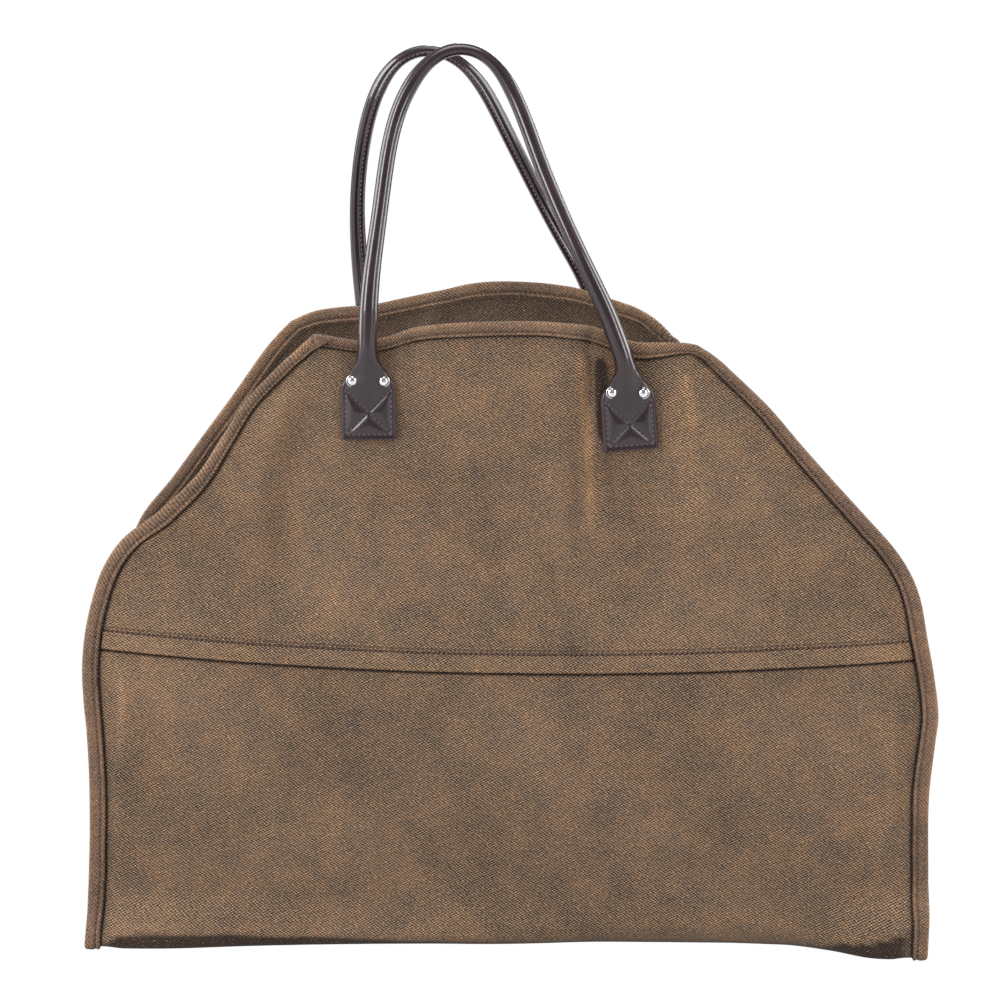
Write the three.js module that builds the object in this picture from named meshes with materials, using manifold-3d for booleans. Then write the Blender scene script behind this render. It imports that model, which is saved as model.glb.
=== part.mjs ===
import * as THREE from 'three';
import { mergeVertices } from 'three/addons/utils/BufferGeometryUtils.js';
import Module from 'manifold-3d';

// A canvas log carrier that stands by itself. Millimetres, +Z up, X across the
// carrier, -Y the front. The origin is the middle of the floor's underside.
// One long sheet of canvas makes the front wall, the floor and the back wall.
// It is sewn from three panels, closed low at each end by a folded gusset, and
// bound all the way round its edge with a folded tape.

const wasm = await Module();
wasm.setup();

const { lerp, clamp, smoothstep, degToRad } = THREE.MathUtils;

// Sizes of the body
const bagWidth = 516;
const bagHeight = 388;
const bagDepth = 196;
const mouthWidth = 230;
const seamHeight = 183;
const seamDroop = 12;
const lapHeight = 12;
const gussetHeight = 152;
const gussetFold = 46;
const gussetTurn = 3;
const gussetInside = 1;
const ridgeHalf = 2;
const ridgeFoot = 14;
const foldRadius = 16;
const endFoldRadius = 9;

// Sizes of the cloth and of its edge tape
const canvasWall = 1.3;
const gussetWall = 1.2;
const tapeWall = 1.2;
const tapeWidth = 9.5;

// Sizes of the leather handles and their rivets
const tabSpacing = 154.5;
const tabWidth = 33;
const tabLength = 35;
const tabWall = 3.6;
const tabMargin = 1;
const tabFade = 8;
const neckLength = 18;
const tubeDiameter = 11.4;
const rivetDrop = 27;
const rivetSpacing = 18.6;
const rivetDiameter = 7.8;
const rivetDome = 2.5;
const rivetBackWall = 1.2;
const shankDiameter = 3;
const handleRise = 177;
const handleLean = 32;
const leanStart = 0.12;

// Clearances
const gap = 0.3;
const seamGap = 0.5;
const holeGap = 0.4;
const capGap = 0.35;

// Where the columns of the cloth's mesh lie: the upright middle zone as a
// share of half the mouth, and at most as a share of the way to the border
const middleZone = 0.8;
const middleZoneMost = 0.85;

// How sharply the cloth's shape changes: of a wall towards its edge, of the
// floor's fold towards the ends, and of a gusset's fold towards its top
const edgeSharpness = 3;
const endSharpness = 4;
const gussetSharpness = 1.2;

// Where a soft fold begins above its top and starts to fade, as shares of it
const foldBegin = -0.25;
const foldFade = 0.5;

// A rivet's cap: the height of its rim as a share of its dome, and where the
// dome turns, as a share of the cap's radius and of the dome
const capRim = 0.2;
const capShoulder = 0.72;

// Fineness of the meshes
const middleCells = 16;
const sideCells = 5;
const foldCells = 3;
const floorCells = 2;
const gussetCells = 3;
const loopSteps = 24;
const holeSides = 12;
const rivetSides = 10;
const reachPasses = 12;
const reachStep = 0.6;
const mergeWithin = 1e-4;

// The first column of the sheet that lies clear of the edge tape
const clearColumn = 3;

// Outline of each wall by height: how far the edges stand out between half
// the mouth (0) and half the carrier (1)
const wallEdges = {
  front: [
    { height: 0.00, left: 0.976, right: 0.984 },
    { height: 0.12, left: 0.962, right: 0.985 },
    { height: 0.25, left: 0.962, right: 0.980 },
    { height: 0.34, left: 0.975, right: 1.002 },
    { height: 0.38, left: 0.986, right: 1.012 },
    { height: 0.44, left: 0.993, right: 0.990 },
    { height: 0.50, left: 0.978, right: 0.957 },
    { height: 0.56, left: 0.940, right: 0.924 },
    { height: 0.60, left: 0.897, right: 0.880 },
    { height: 0.64, left: 0.820, right: 0.806 },
    { height: 0.68, left: 0.680, right: 0.706 },
    { height: 0.74, left: 0.512, right: 0.552 },
    { height: 0.80, left: 0.404, right: 0.402 },
    { height: 0.86, left: 0.298, right: 0.257 },
    { height: 0.92, left: 0.152, right: 0.087 },
    { height: 0.97, left: 0.020, right: -0.030 },
  ],
  back: [
    { height: 0.00, left: 0.976, right: 0.984 },
    { height: 0.20, left: 0.975, right: 0.985 },
    { height: 0.40, left: 1.000, right: 1.000 },
    { height: 0.48, left: 0.985, right: 0.980 },
    { height: 0.55, left: 0.940, right: 0.920 },
    { height: 0.60, left: 0.880, right: 0.835 },
    { height: 0.66, left: 0.750, right: 0.680 },
    { height: 0.74, left: 0.593, right: 0.455 },
    { height: 0.81, left: 0.455, right: 0.240 },
    { height: 0.88, left: 0.323, right: 0.015 },
    { height: 0.95, left: 0.172, right: -0.200 },
  ],
};

// Top edge of each wall by its place across the mouth: shares of the height
const mouthRows = {
  front: [
    { across: -1.00, height: 0.970 },
    { across: -0.78, height: 0.962 },
    { across: -0.60, height: 0.976 },
    { across: -0.38, height: 0.989 },
    { across: 0.00, height: 0.994 },
    { across: 0.33, height: 0.991 },
    { across: 0.48, height: 0.979 },
    { across: 0.62, height: 0.966 },
    { across: 0.80, height: 0.964 },
    { across: 1.00, height: 0.955 },
  ],
  back: [
    { across: -1.25, height: 0.938 },
    { across: -1.00, height: 0.956 },
    { across: -0.60, height: 0.974 },
    { across: -0.20, height: 0.998 },
    { across: 0.12, height: 1.000 },
    { across: 0.35, height: 0.992 },
    { across: 0.60, height: 0.970 },
    { across: 0.82, height: 0.945 },
  ],
};

// How far the walls stand from the middle plane, by height: shares of half
// the depth, in the middle of the wall and at its edges
const depthRows = [
  { height: 0.00, middle: 1.000, edge: 1.090 },
  { height: 0.06, middle: 1.000, edge: 1.075 },
  { height: 0.18, middle: 1.000, edge: 1.010 },
  { height: 0.30, middle: 0.980, edge: 0.950 },
  { height: 0.44, middle: 0.920, edge: 0.890 },
  { height: 0.62, middle: 0.830, edge: 0.815 },
  { height: 0.80, middle: 0.820, edge: 0.810 },
  { height: 1.00, middle: 0.835, edge: 0.830 },
];

// Soft folds in the walls: a line from a top to a foot, across as a share of
// half the mouth, height as a share of the whole, width and depth as shares
// of half the mouth; a fold with a minus depth is a valley
const foldRows = {
  front: [
    { top: 0.99, topAcross: 0.45, foot: 0.56, footAcross: 0.39, width: 0.075, depth: -0.052 },
    { top: 0.99, topAcross: 0.31, foot: 0.54, footAcross: 0.26, width: 0.090, depth: 0.022 },
    { top: 0.97, topAcross: -0.54, foot: 0.86, footAcross: -0.50, width: 0.080, depth: -0.030 },
    { top: 0.80, topAcross: -1.05, foot: 0.48, footAcross: -1.25, width: 0.150, depth: -0.035 },
    { top: 0.86, topAcross: 0.90, foot: 0.50, footAcross: 0.98, width: 0.100, depth: 0.025 },
  ],
  back: [
    { top: 0.99, topAcross: -0.40, foot: 0.58, footAcross: -0.34, width: 0.090, depth: -0.045 },
    { top: 0.99, topAcross: 0.24, foot: 0.62, footAcross: 0.20, width: 0.110, depth: -0.022 },
    { top: 0.84, topAcross: 1.10, foot: 0.50, footAcross: 1.25, width: 0.150, depth: -0.035 },
  ],
};

// The handles: the middle between their tabs as a share of the mouth, the
// turn of each tab and how far it sits below the top edge as a share of the
// usual drop, and the loop from the left neck to the right one, across as a
// share of half the spacing of the tabs, up as a share of the rise
const handleRows = {
  front: {
    middle: -0.038,
    tabs: [{ hand: -1, turn: -1, drop: 0.96 }, { hand: 1, turn: -5, drop: 1.21 }],
    loop: [
      { across: -0.99, up: 0.20 },
      { across: -0.92, up: 0.45 },
      { across: -0.84, up: 0.71 },
      { across: -0.74, up: 0.84 },
      { across: -0.54, up: 0.96 },
      { across: -0.31, up: 1.00 },
      { across: -0.08, up: 0.96 },
      { across: 0.10, up: 0.84 },
      { across: 0.33, up: 0.59 },
      { across: 0.61, up: 0.33 },
      { across: 0.83, up: 0.14 },
    ],
  },
  back: {
    middle: -0.083,
    tabs: [{ hand: -1, turn: 1, drop: 1 }, { hand: 1, turn: -5, drop: 1 }],
    loop: [
      { across: -1.05, up: 0.20 },
      { across: -1.07, up: 0.42 },
      { across: -1.01, up: 0.66 },
      { across: -0.90, up: 0.82 },
      { across: -0.73, up: 0.93 },
      { across: -0.51, up: 0.97 },
      { across: -0.26, up: 0.94 },
      { across: -0.06, up: 0.86 },
      { across: 0.20, up: 0.66 },
      { across: 0.55, up: 0.38 },
      { across: 0.84, up: 0.14 },
    ],
  },
};

// A handle from the foot of its tab to the round tube: rise as a share of tab
// and neck, width between the tube (0) and the tab (1), roundness of the
// section, how much the middle of the tab swells, and how far the leather
// stands off the cloth to clear the edge tape above
const tabRows = [
  { rise: 0.00, width: 1.00, round: 0.00, swell: 0.00, stand: 0.0 },
  { rise: 0.30, width: 1.00, round: 0.00, swell: 0.05, stand: 0.0 },
  { rise: 0.54, width: 1.00, round: 0.00, swell: 0.15, stand: 0.0 },
  { rise: 0.66, width: 0.92, round: 0.00, swell: 0.40, stand: 0.0 },
  { rise: 0.76, width: 0.68, round: 0.00, swell: 0.60, stand: 0.0 },
  { rise: 0.84, width: 0.38, round: 0.50, swell: 0.50, stand: 0.5 },
  { rise: 0.92, width: 0.14, round: 0.85, swell: 0.20, stand: 1.0 },
  { rise: 1.00, width: 0.00, round: 1.00, swell: 0.00, stand: 1.0 },
];

// The tab's section, once round: across in half widths, out from the back of
// the leather (0) to its face (1), with the swell on the middle of the face
const tabSection = [
  { across: 1.00, out: 0.5, swell: 0 },
  { across: 0.88, out: 1.0, swell: 0 },
  { across: 0.30, out: 1.0, swell: 0 },
  { across: 0.00, out: 1.0, swell: 1 },
  { across: -0.30, out: 1.0, swell: 0 },
  { across: -0.88, out: 1.0, swell: 0 },
  { across: -1.00, out: 0.5, swell: 0 },
  { across: -0.88, out: 0.0, swell: 0 },
  { across: -0.30, out: 0.0, swell: 0 },
  { across: 0.00, out: 0.0, swell: 0 },
  { across: 0.30, out: 0.0, swell: 0 },
  { across: 0.88, out: 0.0, swell: 0 },
];

// Heights of the rows of the mesh: upper walls between seam (0) and top (1),
// lower walls between the floor's fold (0) and the gusset's top (1)
const upperRows = [0.78, 0.62, 0.50, 0.40, 0.29, 0.15];
const lowerRows = [1.00, 0.67, 0.33, 0.00];

// Values that follow from the sizes
const bagHalf = bagWidth / 2;
const mouthHalf = mouthWidth / 2;
const depthHalf = bagDepth / 2;
const borderWidth = tapeWidth + 2;
const tapeProud = gap + tapeWall;
const floorLift = tapeProud;
const tubeRadius = tubeDiameter / 2;
const neckReach = tabLength + neckLength;
const sides = { front: -1, back: 1 };

// Reads a column of a table as a smooth curve through its rows
function readTable(rows, key, column, at) {
  const last = rows.length - 1;
  const place = clamp(at, rows[0][key], rows[last][key]);
  let low = 0;
  while (low < last - 1 && rows[low + 1][key] < place) low += 1;
  const slope = (row) => {
    const before = rows[Math.max(row - 1, 0)];
    const after = rows[Math.min(row + 1, last)];
    return (after[column] - before[column]) / (after[key] - before[key]);
  };
  const span = rows[low + 1][key] - rows[low][key];
  const t = (place - rows[low][key]) / span;
  const rise = t * t * (3 - 2 * t);
  return lerp(rows[low][column], rows[low + 1][column], rise)
    + span * t * (1 - t) * ((1 - t) * slope(low) - t * slope(low + 1));
}

// Distance of a wall's edge from the middle, for one hand, at a height
function edgeReach(wall, hand, z) {
  const share = readTable(wallEdges[wall], 'height', hand < 0 ? 'left' : 'right', z / bagHeight);
  return lerp(mouthHalf, bagHalf, share);
}

// Height of a wall's top edge, and of the seam, at a place across
function topAt(wall, x) {
  return bagHeight * readTable(mouthRows[wall], 'across', 'height', x / mouthHalf);
}
function seamAt(x) {
  return seamHeight - seamDroop * Math.max(1 - (x / bagHalf) ** 2, 0);
}

// Where the tab of a handle is riveted to its wall
function rivetPlace(wall, hand) {
  const { middle, tabs } = handleRows[wall];
  const x = middle * mouthWidth + hand * tabSpacing / 2;
  const { drop } = tabs.find((tab) => tab.hand === hand);
  return { x, z: topAt(wall, x) - drop * rivetDrop };
}

// Stiff leather keeps the canvas under it flat: 1 well clear of the tabs
function softness(wall, x, z) {
  let soft = 1;
  for (const hand of [-1, 1]) {
    const place = rivetPlace(wall, hand);
    const aside = (Math.abs(x - place.x) - tabWidth / 2 - tabMargin) / tabFade;
    const below = (place.z - tabLength - tabMargin - z) / tabFade;
    soft = Math.min(soft, clamp(Math.max(aside, below), 0, 1));
  }
  return soft;
}

// How far the soft folds move the cloth outwards: each begins just above its
// top, and fades over its lower half
function foldsAt(wall, x, z) {
  let out = 0;
  for (const fold of foldRows[wall]) {
    const share = (fold.top - z / bagHeight) / (fold.top - fold.foot);
    const line = mouthHalf * lerp(fold.topAcross, fold.footAcross, share);
    const away = (x - line) / (mouthHalf * fold.width);
    const along = smoothstep(share, foldBegin, 0) * (1 - smoothstep(share, foldFade, 1));
    out += mouthHalf * fold.depth * Math.exp(-away * away) * along;
  }
  return out * softness(wall, x, z);
}

// Distance of a wall from the middle plane
function wallDepth(wall, x, z) {
  const reach = edgeReach(wall, Math.sign(x) || 1, z);
  const toEdge = Math.min(Math.abs(x) / reach, 1) ** edgeSharpness;
  const middle = readTable(depthRows, 'height', 'middle', z / bagHeight);
  const edge = readTable(depthRows, 'height', 'edge', z / bagHeight);
  return depthHalf * lerp(middle, edge, toEdge) + foldsAt(wall, x, z) * (1 - toEdge ** 2);
}

// Radius of the fold between a wall and the floor
function radiusAt(x) {
  const toEnd = Math.min(Math.abs(x) / bagHalf, 1) ** endSharpness;
  return lerp(foldRadius, endFoldRadius, toEnd);
}

// Places across of one row of the sheet: the edge, the border under the tape,
// then the side zone and the middle zone, whose columns stand upright
function rowPlaces(wall, heightAt) {
  const ends = [-1, 1].map((hand) => {
    let reach = bagHalf;
    for (let pass = 0; pass < reachPasses; pass += 1) {
      reach = lerp(reach, edgeReach(wall, hand, heightAt(hand * reach)), reachStep);
    }
    const z = heightAt(hand * reach);
    const slope = edgeReach(wall, hand, z + 1) - edgeReach(wall, hand, z - 1);
    return { hand, reach, border: reach - borderWidth * Math.hypot(1, slope / 2) };
  });
  const [left, right] = ends.map((end) => {
    const middleHalf = Math.min(mouthHalf * middleZone, end.border * middleZoneMost);
    const places = [];
    for (let cell = 1; cell <= middleCells / 2; cell += 1) {
      places.push(end.hand * middleHalf * cell / (middleCells / 2));
    }
    for (let cell = 1; cell <= sideCells; cell += 1) {
      places.push(end.hand * lerp(middleHalf, end.border, cell / sideCells));
    }
    return [...places, end.hand * end.reach];
  });
  return [...left.reverse(), 0, ...right];
}

// One row of points on a wall
function wallRow(wall, heightAt) {
  return rowPlaces(wall, heightAt).map((x) => {
    const z = heightAt(x);
    return new THREE.Vector3(x, sides[wall] * wallDepth(wall, x, z), z);
  });
}

// Rows of a wall from the top edge down to the start of the floor's fold
function wallRows(wall) {
  const top = (x) => topAt(wall, x);
  const seam = (x) => seamAt(x) + seamGap / 2;
  const gussetShare = (gussetHeight - endFoldRadius) / (seamHeight - endFoldRadius);
  const upper = [top, (x) => top(x) - borderWidth];
  for (const share of upperRows) upper.push((x) => lerp(seam(x), top(x) - borderWidth, share));
  upper.push(seam);
  const lower = [(x) => seam(x) - seamGap, (x) => seam(x) - lapHeight / 2];
  for (const share of lowerRows) {
    lower.push((x) => lerp(radiusAt(x), seamAt(x), share * gussetShare));
  }
  return {
    upper: upper.map((heightAt) => wallRow(wall, heightAt)),
    lower: lower.map((heightAt) => wallRow(wall, heightAt)),
  };
}

// Rows of the fold below a wall, from its upright start to the flat floor
function foldRowsBelow(wall, start) {
  const rows = [];
  for (let cell = 1; cell <= foldCells; cell += 1) {
    const angle = (Math.PI / 2) * (cell / foldCells);
    rows.push(start.map((point, column) => {
      const radius = radiusAt(point.x);
      const inBorder = column < 2 || column > start.length - 3;
      const lift = inBorder ? floorLift * cell / foldCells : 0;
      const depth = Math.abs(point.y) - radius * (1 - Math.cos(angle));
      return new THREE.Vector3(point.x, sides[wall] * depth, radius * (1 - Math.sin(angle)) + lift);
    }));
  }
  return rows;
}

// The whole sheet as one grid of points on its outer face, row by row from
// the front's top edge under the floor to the back's top edge
function makeSheet() {
  const front = wallRows('front');
  const back = wallRows('back');
  const frontFold = foldRowsBelow('front', front.lower.at(-1));
  const backFold = foldRowsBelow('back', back.lower.at(-1));
  const floor = [];
  for (let cell = 1; cell < floorCells; cell += 1) {
    floor.push(frontFold.at(-1).map((point, column) => {
      return point.clone().lerp(backFold.at(-1)[column], cell / floorCells);
    }));
  }
  const base = [...front.lower, ...frontFold, ...floor, ...backFold.reverse(), ...back.lower.reverse()];
  const rows = [...front.upper, ...base, ...back.upper.reverse()];
  const aboveGusset = front.upper.length + front.lower.length - lowerRows.length;
  return {
    rows,
    normals: gridNormals(rows),
    columns: rows[0].length,
    frontSeam: front.upper.length - 1,
    backSeam: front.upper.length + base.length,
    gussetFirst: aboveGusset,
    gussetLast: rows.length - 1 - aboveGusset,
  };
}

// Outward normals at the points of a grid, averaged over the faces around
function gridNormals(rows) {
  const normals = rows.map((row) => row.map(() => new THREE.Vector3()));
  for (let i = 0; i < rows.length - 1; i += 1) {
    for (let j = 0; j < rows[i].length - 1; j += 1) {
      const across = rows[i + 1][j + 1].clone().sub(rows[i][j]);
      const other = rows[i][j + 1].clone().sub(rows[i + 1][j]);
      const face = across.cross(other);
      for (const row of [normals[i], normals[i + 1]]) {
        row[j].add(face);
        row[j + 1].add(face);
      }
    }
  }
  for (const row of normals) row.forEach((normal) => normal.normalize());
  return normals;
}

// A closed solid from points and triangles, turned so that it faces outwards
function solidGeometry(points, triangles) {
  let volume = 0;
  for (const [a, b, c] of triangles) {
    volume += points[a].dot(points[b].clone().cross(points[c]));
  }
  const turned = volume < 0 ? triangles.map(([a, b, c]) => [a, c, b]) : triangles;
  const geometry = new THREE.BufferGeometry();
  geometry.setFromPoints(points);
  geometry.setIndex(turned.flat());
  geometry.computeVertexNormals();
  return geometry;
}

// A cloth wall: the cells of an open surface, thickened between two distances
// along the normals and closed round its border
function clothGeometry(points, normals, cells, outer, inner) {
  const count = points.length;
  const layer = (distance) => points.map((point, index) => {
    return point.clone().addScaledVector(normals[index], distance);
  });
  const triangles = [];
  const open = new Map();
  for (const cell of cells) {
    const [a, b, c, d] = cell;
    triangles.push([a, b, c], [a, c, d]);
    triangles.push([a + count, c + count, b + count], [a + count, d + count, c + count]);
    cell.forEach((from, corner) => {
      const to = cell[(corner + 1) % 4];
      if (!open.delete(`${to} ${from}`)) open.set(`${from} ${to}`, [from, to]);
    });
  }
  for (const [from, to] of open.values()) {
    triangles.push([to, from, from + count], [to, from + count, to + count]);
  }
  return solidGeometry([...layer(outer), ...layer(inner)], triangles);
}

// The four corners of each cell of a grid, or of some of its columns
function gridCells(start, rows, columns, from = 0, to = columns - 1) {
  const cells = [];
  for (let i = 0; i < rows - 1; i += 1) {
    for (let j = from; j < to; j += 1) {
      const corner = start + i * columns + j;
      cells.push([corner, corner + columns, corner + columns + 1, corner + 1]);
    }
  }
  return cells;
}

// An upper panel: the rows of the sheet above a seam
function panelGeometry(sheet, from, to) {
  const points = sheet.rows.slice(from, to + 1).flat();
  const normals = sheet.normals.slice(from, to + 1).flat();
  const cells = gridCells(0, to - from + 1, sheet.columns);
  return clothGeometry(points, normals, cells, 0, -canvasWall);
}

// The row of a base panel's flap that is hidden behind an upper panel
function flapRow(sheet, seam, above) {
  return sheet.rows[seam].map((point, column) => {
    const next = sheet.rows[above][column];
    return point.clone().lerp(next, lapHeight / point.distanceTo(next));
  });
}

// The base panel: the sheet between the seams, whose top strips step inwards
// and run up behind the upper panels, clear of the edge tape
function basePanelGeometry(sheet) {
  const { rows, normals, columns, frontSeam, backSeam } = sheet;
  const tuck = -(canvasWall + gap);
  const tucked = (row, rowNormals) => row.map((point, column) => {
    const inside = column >= clearColumn && column < columns - clearColumn;
    return point.clone().addScaledVector(rowNormals[column], inside ? tuck : 0);
  });
  const baseRows = rows.slice(frontSeam + 1, backSeam);
  const baseNormals = normals.slice(frontSeam + 1, backSeam);
  baseRows[0] = tucked(baseRows[0], normals[frontSeam]);
  baseRows[baseRows.length - 1] = tucked(baseRows.at(-1), normals[backSeam]);
  baseNormals[0] = normals[frontSeam];
  baseNormals[baseNormals.length - 1] = normals[backSeam];
  const allRows = [
    tucked(flapRow(sheet, frontSeam, frontSeam - 1), normals[frontSeam]),
    ...baseRows,
    tucked(flapRow(sheet, backSeam, backSeam + 1), normals[backSeam]),
  ];
  const allNormals = [normals[frontSeam], ...baseNormals, normals[backSeam]];
  const last = allRows.length - 2;
  const cells = [
    ...gridCells(0, 2, columns, clearColumn, columns - 1 - clearColumn),
    ...gridCells(columns, allRows.length - 2, columns),
    ...gridCells(last * columns, 2, columns, clearColumn, columns - 1 - clearColumn),
  ];
  return clothGeometry(allRows.flat(), allNormals.flat(), cells, 0, -canvasWall);
}

// Once round the sheet's edge: each point with its neighbour in the border
// and how far the gusset is caught beside it
function edgeStations(sheet) {
  const { rows, normals, columns } = sheet;
  const station = (row, column, innerRow, innerColumn, caught, onTop) => ({
    onTop,
    edge: rows[row][column],
    inner: rows[innerRow][innerColumn],
    edgeNormal: normals[row][column],
    innerNormal: normals[innerRow][innerColumn],
    caught,
  });
  const end = rows.length - 1;
  const right = columns - 1;
  const stations = [];
  for (let column = 0; column < right; column += 1) {
    stations.push(station(0, column, 1, Math.max(column, 1), 0, true));
  }
  for (let row = 0; row < end; row += 1) {
    const caught = row >= sheet.gussetFirst && row <= sheet.gussetLast ? 1 : 0;
    stations.push(station(row, right, Math.max(row, 1), right - 1, caught, false));
  }
  for (let column = right; column > 0; column -= 1) {
    stations.push(station(end, column, end - 1, Math.min(column, right - 1), 0, true));
  }
  for (let row = end; row > 0; row -= 1) {
    const caught = row >= sheet.gussetFirst && row <= sheet.gussetLast ? 1 : 0;
    stations.push(station(row, 0, Math.min(row, end - 1), 1, caught, false));
  }
  return stations;
}

// The tape's section: a U, wider inside where it also holds a gusset's edge
function tapeSection(caught) {
  const behind = canvasWall + gap + caught * (gussetWall + gap);
  return [
    { along: tapeWidth, out: tapeProud },
    { along: 0, out: tapeProud },
    { along: -tapeProud, out: -canvasWall / 2 },
    { along: 0, out: -behind - tapeWall },
    { along: tapeWidth, out: -behind - tapeWall },
    { along: tapeWidth, out: -behind },
    { along: -gap, out: -behind },
    { along: -gap, out: gap },
    { along: tapeWidth, out: gap },
  ];
}

// The edge tape, folded over the sheet's edge all the way round. Each of its
// facets is split as the cloth's facet under it
function tapeGeometry(sheet) {
  const stations = edgeStations(sheet);
  const points = [];
  for (const station of stations) {
    for (const corner of tapeSection(station.caught)) {
      const share = corner.along / borderWidth;
      const normal = station.edgeNormal.clone().lerp(station.innerNormal, Math.max(share, 0));
      const point = station.edge.clone().lerp(station.inner, share);
      points.push(point.addScaledVector(normal.normalize(), corner.out));
    }
  }
  const section = tapeSection(0);
  const around = section.length;
  const triangles = [];
  stations.forEach((station, i) => {
    const next = (i + 1) % stations.length;
    for (let k = 0; k < around; k += 1) {
      const side = (k + 1) % around;
      const [a, b] = [i * around + k, next * around + k];
      const [c, d] = [next * around + side, i * around + side];
      const inward = section[side].along > section[k].along;
      if (inward === station.onTop) triangles.push([a, b, c], [a, c, d]);
      else triangles.push([a, b, d], [b, c, d]);
    }
  });
  return solidGeometry(points, triangles);
}

// How far a gusset is folded in at a height, and across from its middle
function gussetInset(y, z) {
  const span = depthHalf * readTable(depthRows, 'height', 'edge', z / bagHeight);
  const tent = 1 - Math.min(Math.abs(y) / span, 1);
  return gussetFold * tent * clamp(z / gussetHeight, 0, 1) ** gussetSharpness;
}

// A gusset: its edge lies inside the sheet's under the tape, turns in, and the
// wall runs to a narrow fold in the middle that leans into the carrier
function gussetGeometry(sheet, hand) {
  const { rows, normals, columns, gussetFirst } = sheet;
  const edgeColumn = hand < 0 ? 0 : columns - 1;
  const innerColumn = hand < 0 ? 1 : columns - 2;
  const depth = canvasWall + gap + gussetWall / 2;
  const count = sheet.gussetLast - gussetFirst + 1;
  const middle = (count - 1) / 2;
  const wallAt = (y, z) => {
    const share = clamp(0.5 + y / bagDepth, 0, 1);
    const reach = lerp(edgeReach('front', hand, z), edgeReach('back', hand, z), share);
    return hand * (reach - borderWidth - gussetTurn / 2 - gussetInset(y, z));
  };
  const rings = [];
  for (let index = 0; index < count; index += 1) {
    const row = gussetFirst + index;
    const edge = rows[row][edgeColumn];
    const inner = rows[row][innerColumn];
    const at = (share, distance) => {
      const normal = normals[row][edgeColumn].clone().lerp(normals[row][innerColumn], share);
      return edge.clone().lerp(inner, share).addScaledVector(normal.normalize(), -distance);
    };
    const ring = [
      at(gussetInside / borderWidth, depth),
      at(1, depth),
      at(1 + gussetTurn / borderWidth / 2, depth + gussetTurn),
    ];
    const start = ring.at(-1);
    const goal = {
      y: Math.sign(index - middle) * ridgeHalf,
      z: lerp(ridgeFoot, start.z, Math.abs(index - middle) / middle),
    };
    for (let cell = 1; cell <= gussetCells; cell += 1) {
      const y = lerp(start.y, goal.y, cell / gussetCells);
      const z = lerp(start.z, goal.z, cell / gussetCells);
      ring.push(new THREE.Vector3(wallAt(y, z), y, z));
    }
    rings.push(ring);
  }
  const width = rings[0].length;
  const cells = gridCells(0, count, width);
  for (let index = 0; index < Math.floor(middle); index += 1) {
    const near = index * width + width - 1;
    const far = (count - 1 - index) * width + width - 1;
    cells.push([near, near + width, far - width, far]);
  }
  const points = rings.flat();
  return clothGeometry(points, surfaceNormals(points, cells), cells, gussetWall / 2, -gussetWall / 2);
}

// Normals of an open surface of cells
function surfaceNormals(points, cells) {
  const normals = points.map(() => new THREE.Vector3());
  for (const [a, b, c, d] of cells) {
    const face = points[c].clone().sub(points[a]).cross(points[d].clone().sub(points[b]));
    for (const corner of [a, b, c, d]) normals[corner].add(face);
  }
  normals.forEach((normal) => normal.normalize());
  return normals;
}

// How far the faceted outer face of a wall stands from the middle plane
function faceDepth(sheet, wall, x, z) {
  const from = wall === 'front' ? 0 : sheet.backSeam;
  const to = wall === 'front' ? sheet.frontSeam : sheet.rows.length - 1;
  for (let i = from; i < to; i += 1) {
    for (let j = 0; j < sheet.columns - 1; j += 1) {
      const [a, b] = [sheet.rows[i][j], sheet.rows[i + 1][j]];
      const [c, d] = [sheet.rows[i + 1][j + 1], sheet.rows[i][j + 1]];
      for (const [p, q, r] of [[a, b, c], [a, c, d]]) {
        const area = (q.x - p.x) * (r.z - p.z) - (r.x - p.x) * (q.z - p.z);
        const v = ((x - p.x) * (r.z - p.z) - (r.x - p.x) * (z - p.z)) / area;
        const w = ((q.x - p.x) * (z - p.z) - (x - p.x) * (q.z - p.z)) / area;
        if (v >= 0 && w >= 0 && v + w <= 1) {
          return Math.abs(p.y + v * (q.y - p.y) + w * (r.y - p.y));
        }
      }
    }
  }
  return wallDepth(wall, x, z);
}

// The furthest, or the nearest, that a wall stands out over a small stretch
function reachOver(sheet, wall, x, z, half, pick) {
  const depths = [];
  for (const share of [-1, -0.5, 0, 0.5, 1]) {
    const place = x + share * half;
    depths.push(faceDepth(sheet, wall, place, Math.min(z, topAt(wall, place) - 1)));
  }
  return pick(...depths);
}

// Stations of one tab, from its foot up to the round neck
function tabStations(sheet, wall, tab) {
  const place = rivetPlace(wall, tab.hand);
  const turn = degToRad(tab.turn);
  return tabRows.map((row) => {
    const along = row.rise * neckReach - tabLength;
    const x = place.x + along * Math.sin(turn);
    const z = place.z + along * Math.cos(turn);
    const half = lerp(tubeRadius, tabWidth / 2, row.width);
    const stand = gap + row.stand * (tapeProud + gap);
    const back = lerp(tabWall / 2, tubeRadius, row.round);
    const depth = reachOver(sheet, wall, x, z, half, Math.max) + stand + back;
    return { centre: new THREE.Vector3(x, sides[wall] * depth, z), half, round: row.round, swell: row.swell };
  });
}

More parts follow.
